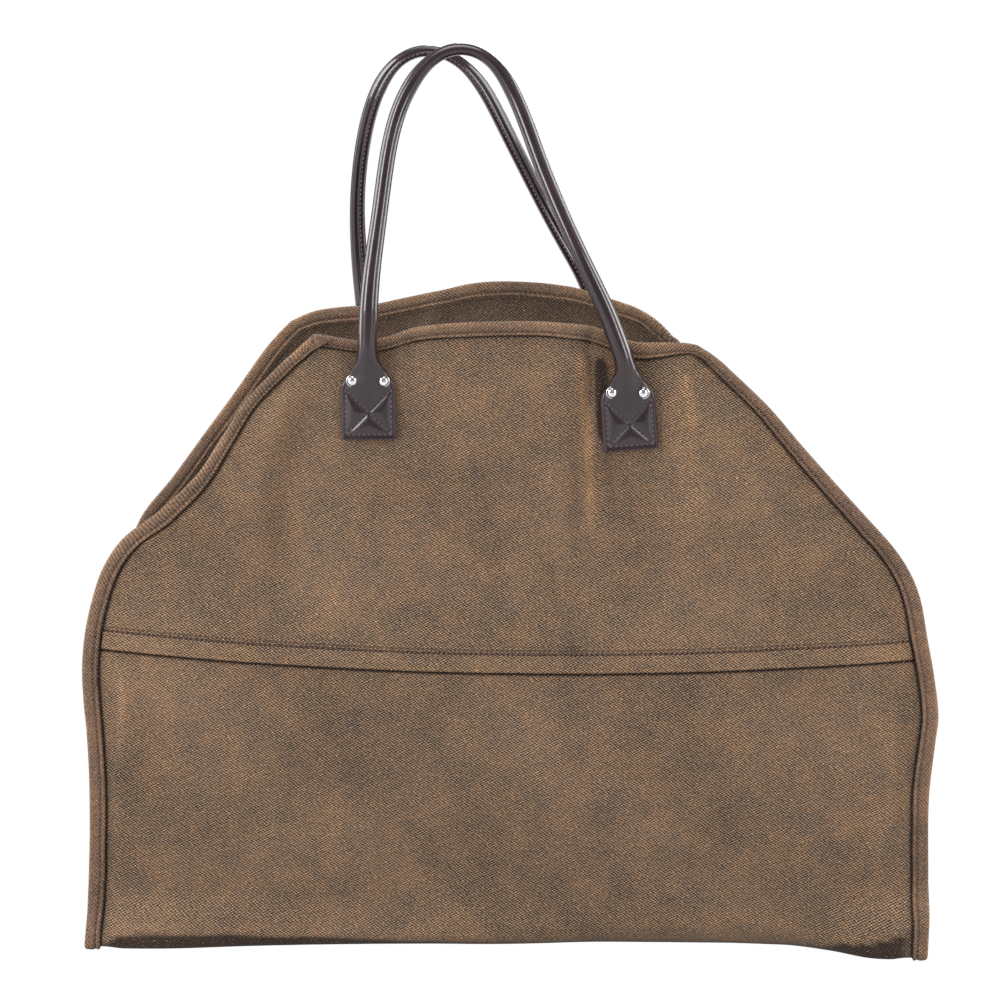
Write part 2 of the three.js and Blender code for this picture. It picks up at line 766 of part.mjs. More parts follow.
// Stations of a whole handle, from one tab over the loop to the other tab
function handleStations(sheet, wall) {
  const [left, right] = handleRows[wall].tabs.map((tab) => tabStations(sheet, wall, tab));
  const start = left.at(-1).centre;
  const finish = right.at(-1).centre;
  const middle = handleRows[wall].middle * mouthWidth;
  const controls = handleRows[wall].loop.map((row) => {
    const lean = handleLean * smoothstep(row.up, leanStart, 1);
    const neck = row.across < 0 ? start : finish;
    const y = neck.y - sides[wall] * lean;
    return new THREE.Vector3(middle + row.across * tabSpacing / 2, y, start.z + row.up * handleRise);
  });
  const curve = new THREE.CatmullRomCurve3([start, ...controls, finish], false, 'centripetal');
  const loop = curve.getSpacedPoints(loopSteps).slice(1, -1).map((centre) => {
    return { centre, half: tubeRadius, round: 1, swell: 0 };
  });
  return [...left, ...loop, ...right.reverse()];
}

// The section of a handle at a station: flat leather rolled into a tube
function handleSection(station) {
  const sidesCount = tabSection.length;
  return tabSection.map((corner, index) => {
    const angle = 2 * Math.PI * index / sidesCount;
    const flat = (corner.out - 0.5) * tabWall + corner.swell * station.swell * tabWall;
    return {
      across: station.half * lerp(corner.across, Math.cos(angle), station.round),
      out: lerp(flat, tubeRadius * Math.sin(angle), station.round),
    };
  });
}

// A leather handle in one piece: two flat tabs and a round loop
function handleGeometry(sheet, wall) {
  const stations = handleStations(sheet, wall);
  const outward = new THREE.Vector3(0, sides[wall], 0);
  const points = [];
  stations.forEach((station, index) => {
    const before = stations[Math.max(index - 1, 0)].centre;
    const after = stations[Math.min(index + 1, stations.length - 1)].centre;
    const along = after.clone().sub(before);
    along.y *= station.round;
    along.normalize();
    const out = outward.clone().addScaledVector(along, -outward.dot(along)).normalize();
    const across = along.clone().cross(out);
    for (const corner of handleSection(station)) {
      const point = station.centre.clone().addScaledVector(across, corner.across);
      points.push(point.addScaledVector(out, corner.out));
    }
  });
  const around = tabSection.length;
  const triangles = [];
  for (let i = 0; i < stations.length - 1; i += 1) {
    for (let k = 0; k < around; k += 1) {
      const side = (k + 1) % around;
      const [a, b] = [i * around + k, (i + 1) * around + k];
      const [c, d] = [(i + 1) * around + side, i * around + side];
      triangles.push([a, b, c], [a, c, d]);
    }
  }
  const last = (stations.length - 1) * around;
  for (let k = 1; k < around - 1; k += 1) {
    triangles.push([0, k, k + 1], [last, last + k + 1, last + k]);
  }
  return solidGeometry(points, triangles);
}

// The rivets of one handle: their axes, the face they sit on and the length
// of their shank
function rivetPlaces(sheet, wall) {
  const places = [];
  for (const tab of handleRows[wall].tabs) {
    const centre = rivetPlace(wall, tab.hand);
    for (const hand of [-1, 1]) {
      const x = centre.x + hand * rivetSpacing / 2;
      const tabReach = reachOver(sheet, wall, centre.x, centre.z, tabWidth / 2, Math.max);
      const face = tabReach + gap + tabWall;
      const inside = reachOver(sheet, wall, x, centre.z, rivetDiameter / 2, Math.min) - canvasWall;
      places.push({ x, z: centre.z, face, inside });
    }
  }
  return places;
}

// A double cap rivet, turned about its axis
function rivetGeometry(wall, place) {
  const radius = rivetDiameter / 2;
  const back = place.inside - capGap;
  const seat = place.face + capGap;
  const profile = [
    new THREE.Vector2(0, back - rivetBackWall),
    new THREE.Vector2(radius, back - rivetBackWall),
    new THREE.Vector2(radius, back),
    new THREE.Vector2(shankDiameter / 2, back),
    new THREE.Vector2(shankDiameter / 2, seat),
    new THREE.Vector2(radius, seat),
    new THREE.Vector2(radius, seat + rivetDome * capRim),
    new THREE.Vector2(radius * capShoulder, seat + rivetDome * capShoulder),
    new THREE.Vector2(0, seat + rivetDome),
  ];
  const geometry = new THREE.LatheGeometry(profile, rivetSides);
  if (sides[wall] < 0) geometry.rotateX(Math.PI);
  geometry.translate(place.x, 0, place.z);
  return geometry;
}

// A geometry as a solid that can be cut
function asSolid(geometry) {
  const bare = geometry.clone();
  bare.deleteAttribute('normal');
  bare.deleteAttribute('uv');
  const merged = mergeVertices(bare, mergeWithin);
  return new wasm.Manifold(new wasm.Mesh({
    numProp: 3,
    vertProperties: new Float32Array(merged.attributes.position.array),
    triVerts: new Uint32Array(merged.index.array),
  }));
}

// A solid back as a geometry
function asGeometry(solid) {
  const mesh = solid.getMesh();
  const geometry = new THREE.BufferGeometry();
  geometry.setAttribute('position', new THREE.BufferAttribute(mesh.vertProperties, 3));
  geometry.setIndex(new THREE.BufferAttribute(mesh.triVerts, 1));
  geometry.computeVertexNormals();
  return geometry;
}

// Holes for the shanks of a wall's rivets
function drilled(geometry, wall, places) {
  let solid = asSolid(geometry);
  const radius = shankDiameter / 2 + holeGap;
  for (const place of places) {
    const drill = new THREE.CylinderGeometry(radius, radius, bagDepth, holeSides);
    drill.translate(place.x, sides[wall] * bagDepth / 2, place.z);
    solid = solid.subtract(asSolid(drill));
  }
  return asGeometry(solid);
}

// Materials
const canvas = new THREE.MeshStandardMaterial({ color: 0x6b5138, roughness: 0.85, metalness: 0 });
const tape = new THREE.MeshStandardMaterial({ color: 0x70543c, roughness: 0.85, metalness: 0 });
const leather = new THREE.MeshStandardMaterial({ color: 0x3c2a2c, roughness: 0.35, metalness: 0 });
const nickel = new THREE.MeshStandardMaterial({ color: 0xd5d5d8, roughness: 0.12, metalness: 1 });

// The carrier
const group = new THREE.Group();

function addPiece(name, geometry, material) {
  const mesh = new THREE.Mesh(geometry, material);
  mesh.name = name;
  group.add(mesh);
}

const sheet = makeSheet();
const lastRow = sheet.rows.length - 1;
const upperPanels = {
  front: panelGeometry(sheet, 0, sheet.frontSeam),
  back: panelGeometry(sheet, sheet.backSeam, lastRow),
};

addPiece('base_panel', basePanelGeometry(sheet), canvas);
addPiece('left_gusset', gussetGeometry(sheet, -1), canvas);
addPiece('right_gusset', gussetGeometry(sheet, 1), canvas);
addPiece('edge_binding', tapeGeometry(sheet), tape);
for (const wall of ['front', 'back']) {
  const places = rivetPlaces(sheet, wall);
  addPiece(`${wall}_panel`, drilled(upperPanels[wall], wall, places), canvas);
  addPiece(`${wall}_handle`, drilled(handleGeometry(sheet, wall), wall, places), leather);
  places.forEach((place, index) => {
    addPiece(`${wall}_rivet_${index + 1}`, rivetGeometry(wall, place), nickel);
  });
}

export default group;
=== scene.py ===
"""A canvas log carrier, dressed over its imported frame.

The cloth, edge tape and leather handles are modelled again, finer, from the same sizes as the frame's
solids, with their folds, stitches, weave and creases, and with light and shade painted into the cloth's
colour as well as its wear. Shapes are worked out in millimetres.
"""

import logging
import math
from dataclasses import dataclass, field
from enum import Enum
from typing import NamedTuple, Sequence, Union

import bpy
import numpy as np
from mathutils import Matrix, Vector


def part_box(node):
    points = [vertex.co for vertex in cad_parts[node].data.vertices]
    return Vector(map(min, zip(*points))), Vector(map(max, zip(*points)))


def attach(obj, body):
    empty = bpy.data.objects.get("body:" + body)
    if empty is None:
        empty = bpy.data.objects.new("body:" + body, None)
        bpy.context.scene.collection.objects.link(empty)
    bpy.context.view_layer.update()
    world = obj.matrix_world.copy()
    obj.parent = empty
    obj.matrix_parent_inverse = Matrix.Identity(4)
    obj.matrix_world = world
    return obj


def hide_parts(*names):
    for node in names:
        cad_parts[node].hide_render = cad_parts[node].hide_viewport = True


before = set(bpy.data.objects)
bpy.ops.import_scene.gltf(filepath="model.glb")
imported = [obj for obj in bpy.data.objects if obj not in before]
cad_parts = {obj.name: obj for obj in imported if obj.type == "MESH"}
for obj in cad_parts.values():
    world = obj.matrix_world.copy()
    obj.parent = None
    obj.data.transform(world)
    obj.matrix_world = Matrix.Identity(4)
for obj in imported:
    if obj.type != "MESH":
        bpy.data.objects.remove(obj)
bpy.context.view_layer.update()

MM = 0.001
Array = np.ndarray
Number = Union[float, Array]
Colour = tuple[float, float, float]
log = logging.getLogger("log_carrier")


class Side(Enum):
    """A wall of the carrier, with the way that it faces along Y."""

    FRONT = -1
    BACK = 1


class EdgeRow(NamedTuple):
    """A wall's side edges at a height: 0 stands at half the mouth and 1 at half the carrier."""

    height: float
    left: float
    right: float


class MouthRow(NamedTuple):
    """The top edge's height at a place across, as shares of the height and of half the mouth."""

    across: float
    height: float


class DepthRow(NamedTuple):
    """How far a wall stands from the middle plane, as shares of half the depth."""

    height: float
    middle: float
    edge: float


class FootRow(NamedTuple):
    """The fold along a wall's foot at a place across: its radius, how far it bulges and how high."""

    across: float
    radius: float
    bulge: float
    height: float


class FoldRow(NamedTuple):
    """A soft fold that runs down a wall; a minus depth is a valley."""

    top: float
    top_across: float
    foot: float
    foot_across: float
    width: float
    depth: float


class Crease(NamedTuple):
    """A crease along a path of places across and up, with its half width, height and colour change:
    lighter as wear and painted highlight, darker as painted shade.
    """

    path: tuple[tuple[float, float], ...]
    width: float
    height: float
    rub: float


class LoopRow(NamedTuple):
    """A point of a handle's loop, as shares of half the tabs' spacing and of the loop's rise."""

    across: float
    up: float


class EndRow(NamedTuple):
    """A ring of the tape's cut end: how far in, how high, and its painted light and shade on the lower
    right (low) and on the upper left (high).
    """

    inset: float
    rise: float
    low: float
    high: float


class TabRow(NamedTuple):
    """A handle's section from the foot of its tab to the round tube."""

    rise: float
    width: float
    round: float
    swell: float
    stand: float


EDGES = {
    Side.FRONT: (
        EdgeRow(0.00, 0.976, 0.984), EdgeRow(0.12, 0.962, 0.985), EdgeRow(0.25, 0.962, 0.980),
        EdgeRow(0.34, 0.975, 1.002), EdgeRow(0.38, 0.986, 1.012), EdgeRow(0.44, 0.993, 0.990),
        EdgeRow(0.50, 0.978, 0.957), EdgeRow(0.56, 0.940, 0.924), EdgeRow(0.60, 0.897, 0.880),
        EdgeRow(0.64, 0.820, 0.806), EdgeRow(0.68, 0.680, 0.706), EdgeRow(0.74, 0.512, 0.552),
        EdgeRow(0.80, 0.404, 0.402), EdgeRow(0.86, 0.298, 0.257), EdgeRow(0.92, 0.145, 0.082),
        EdgeRow(0.932, 0.109, 0.046), EdgeRow(0.945, 0.071, -0.004), EdgeRow(0.956, 0.038, -0.062),
        EdgeRow(0.97, 0.000, -0.180),
    ),
    Side.BACK: (
        EdgeRow(0.00, 0.976, 0.984), EdgeRow(0.20, 0.975, 0.985), EdgeRow(0.40, 1.000, 1.000),
        EdgeRow(0.48, 0.985, 0.980), EdgeRow(0.55, 0.940, 0.920), EdgeRow(0.60, 0.880, 0.835),
        EdgeRow(0.66, 0.750, 0.680), EdgeRow(0.74, 0.593, 0.455), EdgeRow(0.81, 0.455, 0.240),
        EdgeRow(0.88, 0.323, 0.015), EdgeRow(0.91, 0.255, -0.062), EdgeRow(0.93, 0.200, -0.125),
        EdgeRow(0.945, 0.140, -0.190), EdgeRow(0.96, 0.050, -0.300),
    ),
}

MOUTHS = {
    Side.FRONT: (
        MouthRow(-1.00, 0.962), MouthRow(-0.78, 0.953), MouthRow(-0.66, 0.959), MouthRow(-0.55, 0.970),
        MouthRow(-0.38, 0.980), MouthRow(0.00, 0.986), MouthRow(0.33, 0.983), MouthRow(0.48, 0.973),
        MouthRow(0.62, 0.957), MouthRow(0.76, 0.9560), MouthRow(0.88, 0.9560), MouthRow(0.94, 0.9535),
        MouthRow(0.98, 0.9500), MouthRow(1.05, 0.942),
    ),
    Side.BACK: (
        MouthRow(-1.32, 0.918), MouthRow(-1.22, 0.935), MouthRow(-1.12, 0.947), MouthRow(-0.98, 0.954),
        MouthRow(-0.80, 0.959), MouthRow(-0.60, 0.972), MouthRow(-0.20, 0.998), MouthRow(0.12, 1.000),
        MouthRow(0.35, 0.992), MouthRow(0.60, 0.970), MouthRow(0.72, 0.957), MouthRow(0.82, 0.938),
        MouthRow(0.90, 0.914),
    ),
}

DEPTHS = (
    DepthRow(0.00, 1.000, 1.090), DepthRow(0.06, 1.000, 1.075), DepthRow(0.18, 1.000, 1.010),
    DepthRow(0.30, 0.980, 0.950), DepthRow(0.44, 0.920, 0.890), DepthRow(0.62, 0.830, 0.815),
    DepthRow(0.80, 0.820, 0.810), DepthRow(1.00, 0.835, 0.830),
)

FEET = {
    Side.FRONT: (
        FootRow(-1.00, 4, 6, 0), FootRow(-0.90, 4, 10, 11), FootRow(-0.78, 4, 11, 12),
        FootRow(-0.60, 5, 8, 10), FootRow(-0.40, 6, 5, 8), FootRow(-0.20, 8, 3.5, 7),
        FootRow(0.00, 9, 2.5, 7), FootRow(0.18, 14, 1, 7), FootRow(0.36, 16, 0.6, 8),
        FootRow(0.66, 16, 0.6, 8), FootRow(0.76, 10, 2.5, 9), FootRow(0.86, 5, 11, 13),
        FootRow(0.95, 4, 10, 20), FootRow(1.00, 4, 8, 24),
    ),
    Side.BACK: (
        FootRow(-1.00, 5, 4, 9), FootRow(-0.80, 7, 4, 7), FootRow(-0.30, 14, 0, 6),
        FootRow(0.40, 16, 0, 6), FootRow(0.85, 8, 5, 7), FootRow(1.00, 5, 4, 9),
    ),
}

FOLDS = {
    Side.FRONT: (
        FoldRow(0.99, 0.45, 0.56, 0.39, 0.075, -0.052), FoldRow(0.99, 0.31, 0.54, 0.26, 0.090, 0.022),
        FoldRow(0.97, -0.54, 0.86, -0.50, 0.080, -0.030),
        FoldRow(0.80, -1.05, 0.48, -1.25, 0.150, -0.035),
        FoldRow(0.86, 0.90, 0.50, 0.98, 0.100, 0.025),
    ),
    Side.BACK: (
        FoldRow(0.99, -0.40, 0.58, -0.34, 0.090, -0.045), FoldRow(0.99, 0.24, 0.62, 0.20, 0.110, -0.022),
        FoldRow(0.84, 1.10, 0.50, 1.25, 0.150, -0.035),
    ),
}

LOOPS = {
    Side.FRONT: (
        LoopRow(-0.99, 0.20), LoopRow(-0.92, 0.45), LoopRow(-0.84, 0.71), LoopRow(-0.74, 0.84),
        LoopRow(-0.54, 0.96), LoopRow(-0.31, 1.00), LoopRow(-0.08, 0.96), LoopRow(0.10, 0.84),
        LoopRow(0.33, 0.59), LoopRow(0.61, 0.33), LoopRow(0.83, 0.14),
    ),
    Side.BACK: (
        LoopRow(-1.05, 0.20), LoopRow(-1.07, 0.42), LoopRow(-1.01, 0.66), LoopRow(-0.90, 0.832),
        LoopRow(-0.73, 0.948), LoopRow(-0.51, 0.988), LoopRow(-0.26, 0.962), LoopRow(-0.06, 0.882),
        LoopRow(0.20, 0.675), LoopRow(0.56, 0.38), LoopRow(0.89, 0.14),
    ),
}

TAB_ROWS = (
    TabRow(0.00, 1.00, 0.00, 0.00, 0.0), TabRow(0.30, 1.00, 0.00, 0.05, 0.0),
    TabRow(0.52, 1.00, 0.00, 0.16, 0.0), TabRow(0.60, 0.97, 0.00, 0.36, 0.0),
    TabRow(0.66, 0.86, 0.00, 0.58, 0.0), TabRow(0.735, 0.60, 0.09, 0.76, 0.13),
    TabRow(0.81, 0.35, 0.33, 0.76, 0.38), TabRow(0.885, 0.16, 0.66, 0.46, 0.68),
    TabRow(0.96, 0.04, 0.93, 0.12, 0.94), TabRow(1.00, 0.00, 1.00, 0.00, 1.0),
)

TAPE_SIDES = {
    Side.FRONT: (
        EdgeRow(0.00, 1.00, 1.00), EdgeRow(0.55, 1.00, 1.00), EdgeRow(0.64, 0.98, 0.95),
        EdgeRow(0.72, 0.85, 0.86), EdgeRow(0.79, 0.70, 0.80), EdgeRow(0.86, 0.62, 0.70),
        EdgeRow(0.92, 0.65, 0.62), EdgeRow(0.95, 0.66, 0.50),
    ),
    Side.BACK: (EdgeRow(0.00, 1.00, 1.00), EdgeRow(0.60, 1.00, 1.00), EdgeRow(0.95, 1.00, 0.90)),
}

TAPE_TOPS = {
    Side.FRONT: (
        MouthRow(-1.00, 0.66), MouthRow(-0.80, 0.62), MouthRow(-0.60, 0.72), MouthRow(-0.30, 0.84),
        MouthRow(0.30, 0.86), MouthRow(0.55, 1.00), MouthRow(0.70, 1.04), MouthRow(0.80, 0.80),
        MouthRow(0.88, 0.54), MouthRow(0.94, 0.40), MouthRow(1.00, 0.42),
    ),
    Side.BACK: (MouthRow(-1.20, 1.00), MouthRow(0.80, 1.00)),
}

# The cut end's rim is painted dark as shade, most on its lower right side, where the end casts its
# shadow; its upper left edge is painted lighter as a highlight.
TAPE_END = (
    EndRow(0.80, 0.00, -2.4, -1.6), EndRow(0.00, 0.20, -2.4, -1.2), EndRow(0.00, 0.75, -2.4, 0.2),
    EndRow(0.25, 1.00, -2.0, 0.6), EndRow(0.70, 1.00, -0.2, 0.3),
)

HANDLE_MIDDLES = {Side.FRONT: -0.038, Side.BACK: -0.083}
TAB_TURNS = {Side.FRONT: {-1: -1.0, 1: -5.0}, Side.BACK: {-1: 1.0, 1: -5.0}}
TAB_DROPS = {Side.FRONT: {-1: 0.838, 1: 1.082}, Side.BACK: {-1: 1.0, 1: 1.0}}

# A crease's last number above 0 lightens its ridge as wear and painted highlight; below 0 it darkens its
# valley as painted shade, as in the painted shadows beside the tabs.
CREASES = {
    Side.FRONT: (
        Crease(((42, 394), (40, 366), (43, 336), (46, 312), (47, 288), (50, 250)), 5.4, 3.0, 0.90),
        Crease(((52, 398), (52, 370), (53, 340), (55, 310)), 4.6, -3.2, -1.70),
        Crease(((54, 336), (57, 300), (61, 256)), 5.5, -2.2, -0.55),
        Crease(((-70, 384), (-68, 370), (-70, 352)), 4.5, -1.6, -0.8),
        Crease(((-98, 380), (-108, 366), (-112, 348)), 7.0, 1.0, 0.35),
        Crease(((-120, 338), (-132, 300), (-138, 262), (-136, 214)), 11.0, -2.4, -0.35),
        Crease(((-128, 352), (-148, 312), (-158, 268), (-164, 226)), 11.0, 1.6, 0.30),
        Crease(((94, 352), (104, 318), (110, 280), (112, 244)), 11.0, 1.4, 0.30),
        Crease(((100, 362), (106, 336), (108, 318)), 3.5, 0.7, 0.50),
        Crease(((122, 362), (138, 348), (158, 322), (176, 300)), 4.5, 1.0, 0.45),
        Crease(((-3, 262), (-8, 236), (-4, 204)), 6.0, -0.8, -0.25),
        Crease(((24, 240), (28, 214), (34, 196)), 3.4, -0.9, -0.30),
        Crease(((68, 214), (69, 196), (68, 178)), 4.0, 0.7, 0.30),
        Crease(((34, 196), (38, 186), (42, 174)), 4.0, -0.7, -0.30),
        Crease(((-238, 176), (-233, 158), (-233, 132), (-238, 96), (-239, 40)), 5.0, 1.8, 0.55),
        Crease(((-236, 172), (-234, 150), (-237, 116)), 3.6, 0.7, 0.55),
        Crease(((-247, 172), (-243, 150), (-243, 110)), 3.4, -1.8, -0.45),
        Crease(((236, 160), (233, 145), (236, 110), (226, 60), (228, 30)), 7.0, 1.8, 0.62),
        Crease(((247, 46), (243, 32), (245, 16)), 4.5, -1.4, -0.55),
        Crease(((240, 170), (238, 140), (240, 96)), 3.4, -1.6, -0.45),
    ),
    Side.BACK: (
        Crease(((-46, 384), (-44, 350), (-40, 300), (-38, 250)), 5.0, 2.0, 0.70),
        Crease(((-56, 384), (-54, 350), (-50, 300), (-48, 256)), 4.0, -2.2, -0.60),
        Crease(((24, 384), (22, 350), (20, 300)), 6.0, 1.2, 0.40),
        Crease(((126, 352), (140, 300), (146, 250)), 10.0, 2.0, 0.45),
        Crease(((-238, 170), (-234, 130), (-238, 40)), 4.2, 2.0, 0.70),
        Crease(((234, 170), (230, 130), (234, 40)), 4.2, 2.0, 0.70),
    ),
}


def mix(first: Number, second: Number, share: Number) -> Number:
    """The value between two others at a share of the way."""
    return first + (second - first) * share


def ease(value: Number, low: float, high: float) -> Number:
    """A smooth step from 0 at low to 1 at high."""
    share = np.clip((value - low) / (high - low), 0.0, 1.0)
    return share * share * (3 - 2 * share)


def bump(value: Number, middle: float, width: float) -> Number:
    """A round hump of height 1 about a middle."""
    return np.exp(-(((value - middle) / width) ** 2))


def unit(vectors: Array) -> Array:
    """Vectors at length 1."""
    return vectors / np.linalg.norm(vectors, axis=-1, keepdims=True)


def way_along(points: Array) -> Array:
    """The way from a path's start to each of its points."""
    return np.concatenate([[0.0], np.cumsum(np.linalg.norm(np.diff(points, axis=0), axis=1))])


def read_path(at: Array, run: Array, values: Array) -> Array:
    """Points or directions at places along a path, from those at its known places."""
    return np.stack([np.interp(at, run, values[:, k]) for k in range(3)], -1)


def read_table(rows: Sequence[NamedTuple], column: str, at: Number) -> Array:
    """Reads a column of a table as a smooth curve through its rows.

    Args:
        rows: The table, whose first column is the place.
        column: The name of the column to read.
        at: The places to read it at.

    Returns:
        The column's value at each place.
    """
    places = np.array([row[0] for row in rows])
    values = np.array([getattr(row, column) for row in rows])
    last = len(rows) - 1
    before = np.maximum(np.arange(last + 1) - 1, 0)
    after = np.minimum(np.arange(last + 1) + 1, last)
    slopes = (values[after] - values[before]) / (places[after] - places[before])
    at = np.clip(at, places[0], places[-1])
    low = np.clip(np.searchsorted(places, at) - 1, 0, last - 1)
    span = places[low + 1] - places[low]
    share = (at - places[low]) / span
    rise = share * share * (3 - 2 * share)
    pull = (1 - share) * slopes[low] - share * slopes[low + 1]
    return mix(values[low], values[low + 1], rise) + span * share * (1 - share) * pull


def soft_noise(across: Number, along: Number, size: float, seed: int) -> Array:
    """Smooth random values from -1 to 1 over a plane.

    Args:
        across: Places along the plane's first direction.
        along: Places along its second direction.
        size: The size of one patch.
        seed: Which random plane it is.

    Returns:
        A value for each place.
    """
    cells = np.random.default_rng(seed).uniform(-1, 1, (64, 64))
    scaled = (np.asarray(across, float) / size, np.asarray(along, float) / size)
    across, along = np.broadcast_arrays(*scaled)
    i, j = np.floor(across).astype(int), np.floor(along).astype(int)
    u, v = ease(across - i, 0, 1), ease(along - j, 0, 1)
    low = mix(cells[i % 64, j % 64], cells[(i + 1) % 64, j % 64], u)
    high = mix(cells[i % 64, (j + 1) % 64], cells[(i + 1) % 64, (j + 1) % 64], u)
    return mix(low, high, v)


def path_distance(path: Sequence[tuple[float, float]], x: Array, z: Array) -> tuple[Array, Array]:
    """How far places lie from a path of straight steps, and how far along it its nearest point is.

    Args:
        path: The path's corners.
        x: Places across.
        z: Places up.

    Returns:
        The distance, and the share of the path's length, for each place.
    """
    corners = np.array(path, float)
    lengths = np.linalg.norm(np.diff(corners, axis=0), axis=1)
    total = lengths.sum()
    nearest = np.full(np.shape(x), np.inf)
    share = np.zeros(np.shape(x))
    run = 0.0
    for start, finish, length in zip(corners, corners[1:], lengths):
        step = (finish - start) / length
        along = np.clip((x - start[0]) * step[0] + (z - start[1]) * step[1], 0, length)
        away = np.hypot(x - start[0] - step[0] * along, z - start[1] - step[1] * along)
        closer = away < nearest
        share = np.where(closer, (run + along) / total, share)
        nearest = np.where(closer, away, nearest)
        run += length
    return nearest, share


@dataclass(frozen=True)
class Form:
    """The carrier's sizes in millimetres, and where its cloth lies.

    A place on a wall is its distance across and its height. Below 0 the height is minus the way
    along the floor towards the middle.
    """

    bag_width: float = 516
    bag_height: float = 388
    bag_depth: float = 196
    mouth_width: float = 230
    seam_height: float = 183
    seam_droop: float = 12
    lap_height: float = 12
    gusset_height: float = 152
    gusset_fold: float = 46
    gusset_turn: float = 3
    fold_radius: float = 16
    undercut: float = 1.6
    bulge_rise: float = 24
    canvas_wall: float = 1.3
    gusset_wall: float = 1.2
    tape_wall: float = 1.2
    tape_width: float = 9.5
    tape_face: float = 8.0
    tab_spacing: float = 154.5
    tab_width: float = 33
    tab_length: float = 35
    tab_wall: float = 3.6
    neck_length: float = 18
    tube_diameter: float = 11.4
    rivet_drop: float = 27
    handle_rise: float = 180
    handle_lean: float = 32
    lean_start: float = 0.12
    gap: float = 0.3
    tab_clear: float = 2.0
    tab_fade: float = 8.0
    lift_fade: float = 10.0
    tape_fade: tuple[float, float] = (-1.0, 9.0)
    floor_fade: tuple[float, float] = (-4.0, 22.0)
    noise_seeds: tuple[int, int] = (10, 20)

    @property
    def bag_half(self) -> float:
        """Half the carrier's width."""
        return self.bag_width / 2

    @property
    def mouth_half(self) -> float:
        """Half the mouth's width."""
        return self.mouth_width / 2

    @property
    def depth_half(self) -> float:
        """Half the floor's depth."""
        return self.bag_depth / 2

    @property
    def border(self) -> float:
        """Width of the strip that the edge tape holds."""
        return self.tape_width + 2

    @property
    def tape_proud(self) -> float:
        """How far the tape's face stands off the cloth."""
        return self.gap + self.tape_wall

    def edge_reach(self, side: Side, hand: Number, z: Number) -> Array:
        """Distance of a wall's edge from the middle, on the left (-1) or right (1), at a height."""
        share = np.clip(z, 0, None) / self.bag_height
        left = read_table(EDGES[side], "left", share)
        right = read_table(EDGES[side], "right", share)
        return mix(self.mouth_half, self.bag_half, np.where(np.asarray(hand) < 0, left, right))

    def border_reach(self, side: Side, hand: Number, z: Number) -> Array:
        """Distance from the middle of the place where the tape's strip begins."""
        slope = (self.edge_reach(side, hand, z + 1) - self.edge_reach(side, hand, z - 1)) / 2
        return self.edge_reach(side, hand, z) - self.border * np.hypot(1, slope)

    def face_width(self, side: Side, hand: Number, z: Number) -> Array:
        """Width of the tape's face on a side edge, from the edge of the cloth."""
        share = np.clip(z, 0, None) / self.bag_height
        left, right = (read_table(TAPE_SIDES[side], column, share) for column in ("left", "right"))
        return self.tape_face * np.where(np.asarray(hand) < 0, left, right)

    def top_face_width(self, side: Side, x: Number) -> Array:
        """Width of the tape's face on the top edge."""
        return self.tape_face * read_table(TAPE_TOPS[side], "height", x / self.mouth_half)

    def beside_tape(self, side: Side, x: Array, h: Array) -> Array:
        """Distance of places on the cloth from the tape's inner edge; below 0 is under the tape."""
        hand, height = np.sign(x), np.maximum(h, 0)
        slope = (self.edge_reach(side, hand, height + 1) - self.edge_reach(side, hand, height - 1)) / 2
        aside = (self.edge_reach(side, hand, height) - np.abs(x)) / np.hypot(1, slope)
        aside = aside - self.face_width(side, hand, height)
        return np.minimum(aside, self.top_at(side, x) - h - self.top_face_width(side, x))

    def top_at(self, side: Side, x: Number) -> Array:
        """Height of a wall's top edge at a place across."""
        return self.bag_height * read_table(MOUTHS[side], "height", x / self.mouth_half)

    def seam_at(self, x: Number) -> Array:
        """Height of the seam between the upper and the lower panel."""
        return self.seam_height - self.seam_droop * np.maximum(1 - (x / self.bag_half) ** 2, 0)

    def radius_at(self, side: Side, x: Number) -> Array:
        """Radius of the fold between a wall and the floor."""
        return read_table(FEET[side], "radius", x / self.bag_half)

    def bulge_at(self, side: Side, x: Number, h: Number) -> Array:
        """How far the foot of a wall bulges outwards above its fold."""
        rows, across = FEET[side], x / self.bag_half
        bulge, crest = read_table(rows, "bulge", across), read_table(rows, "height", across)
        under = self.undercut * np.clip(1 - h / crest, 0, 1) * np.clip(bulge / 6, 0, 1)
        return bulge * (1 - ease(h - crest, 0, self.bulge_rise)) - under

    def tab_middle(self, side: Side, hand: int) -> tuple[float, float]:
        """The place between the two rivets of a tab."""
        x = HANDLE_MIDDLES[side] * self.mouth_width + hand * self.tab_spacing / 2
        return x, float(self.top_at(side, x)) - self.rivet_drop * TAB_DROPS[side][hand]

    def softness(self, side: Side, x: Number, z: Number) -> Array:
        """1 where the cloth hangs free and 0 where the stiff leather of a tab keeps it flat."""
        soft = np.ones(np.broadcast(x, z).shape)
        for hand in (-1, 1):
            middle, height = self.tab_middle(side, hand)
            aside = (np.abs(x - middle) - self.tab_width / 2 - self.tab_clear) / self.tab_fade
            below = (height - self.tab_length - self.tab_clear - z) / self.tab_fade
            soft = np.minimum(soft, np.clip(np.maximum(aside, below), 0, 1))
        return soft

    def folds_at(self, side: Side, x: Number, z: Number) -> Array:
        """How far the soft folds move the cloth outwards."""
        out, half = 0.0, self.mouth_half
        for fold in FOLDS[side]:
            share = (fold.top - z / self.bag_height) / (fold.top - fold.foot)
            line = half * mix(fold.top_across, fold.foot_across, share)
            along = ease(share, -0.25, 0) * (1 - ease(share, 0.5, 1))
            out = out + half * fold.depth * bump(x, line, half * fold.width) * along
        return out * self.softness(side, x, z)

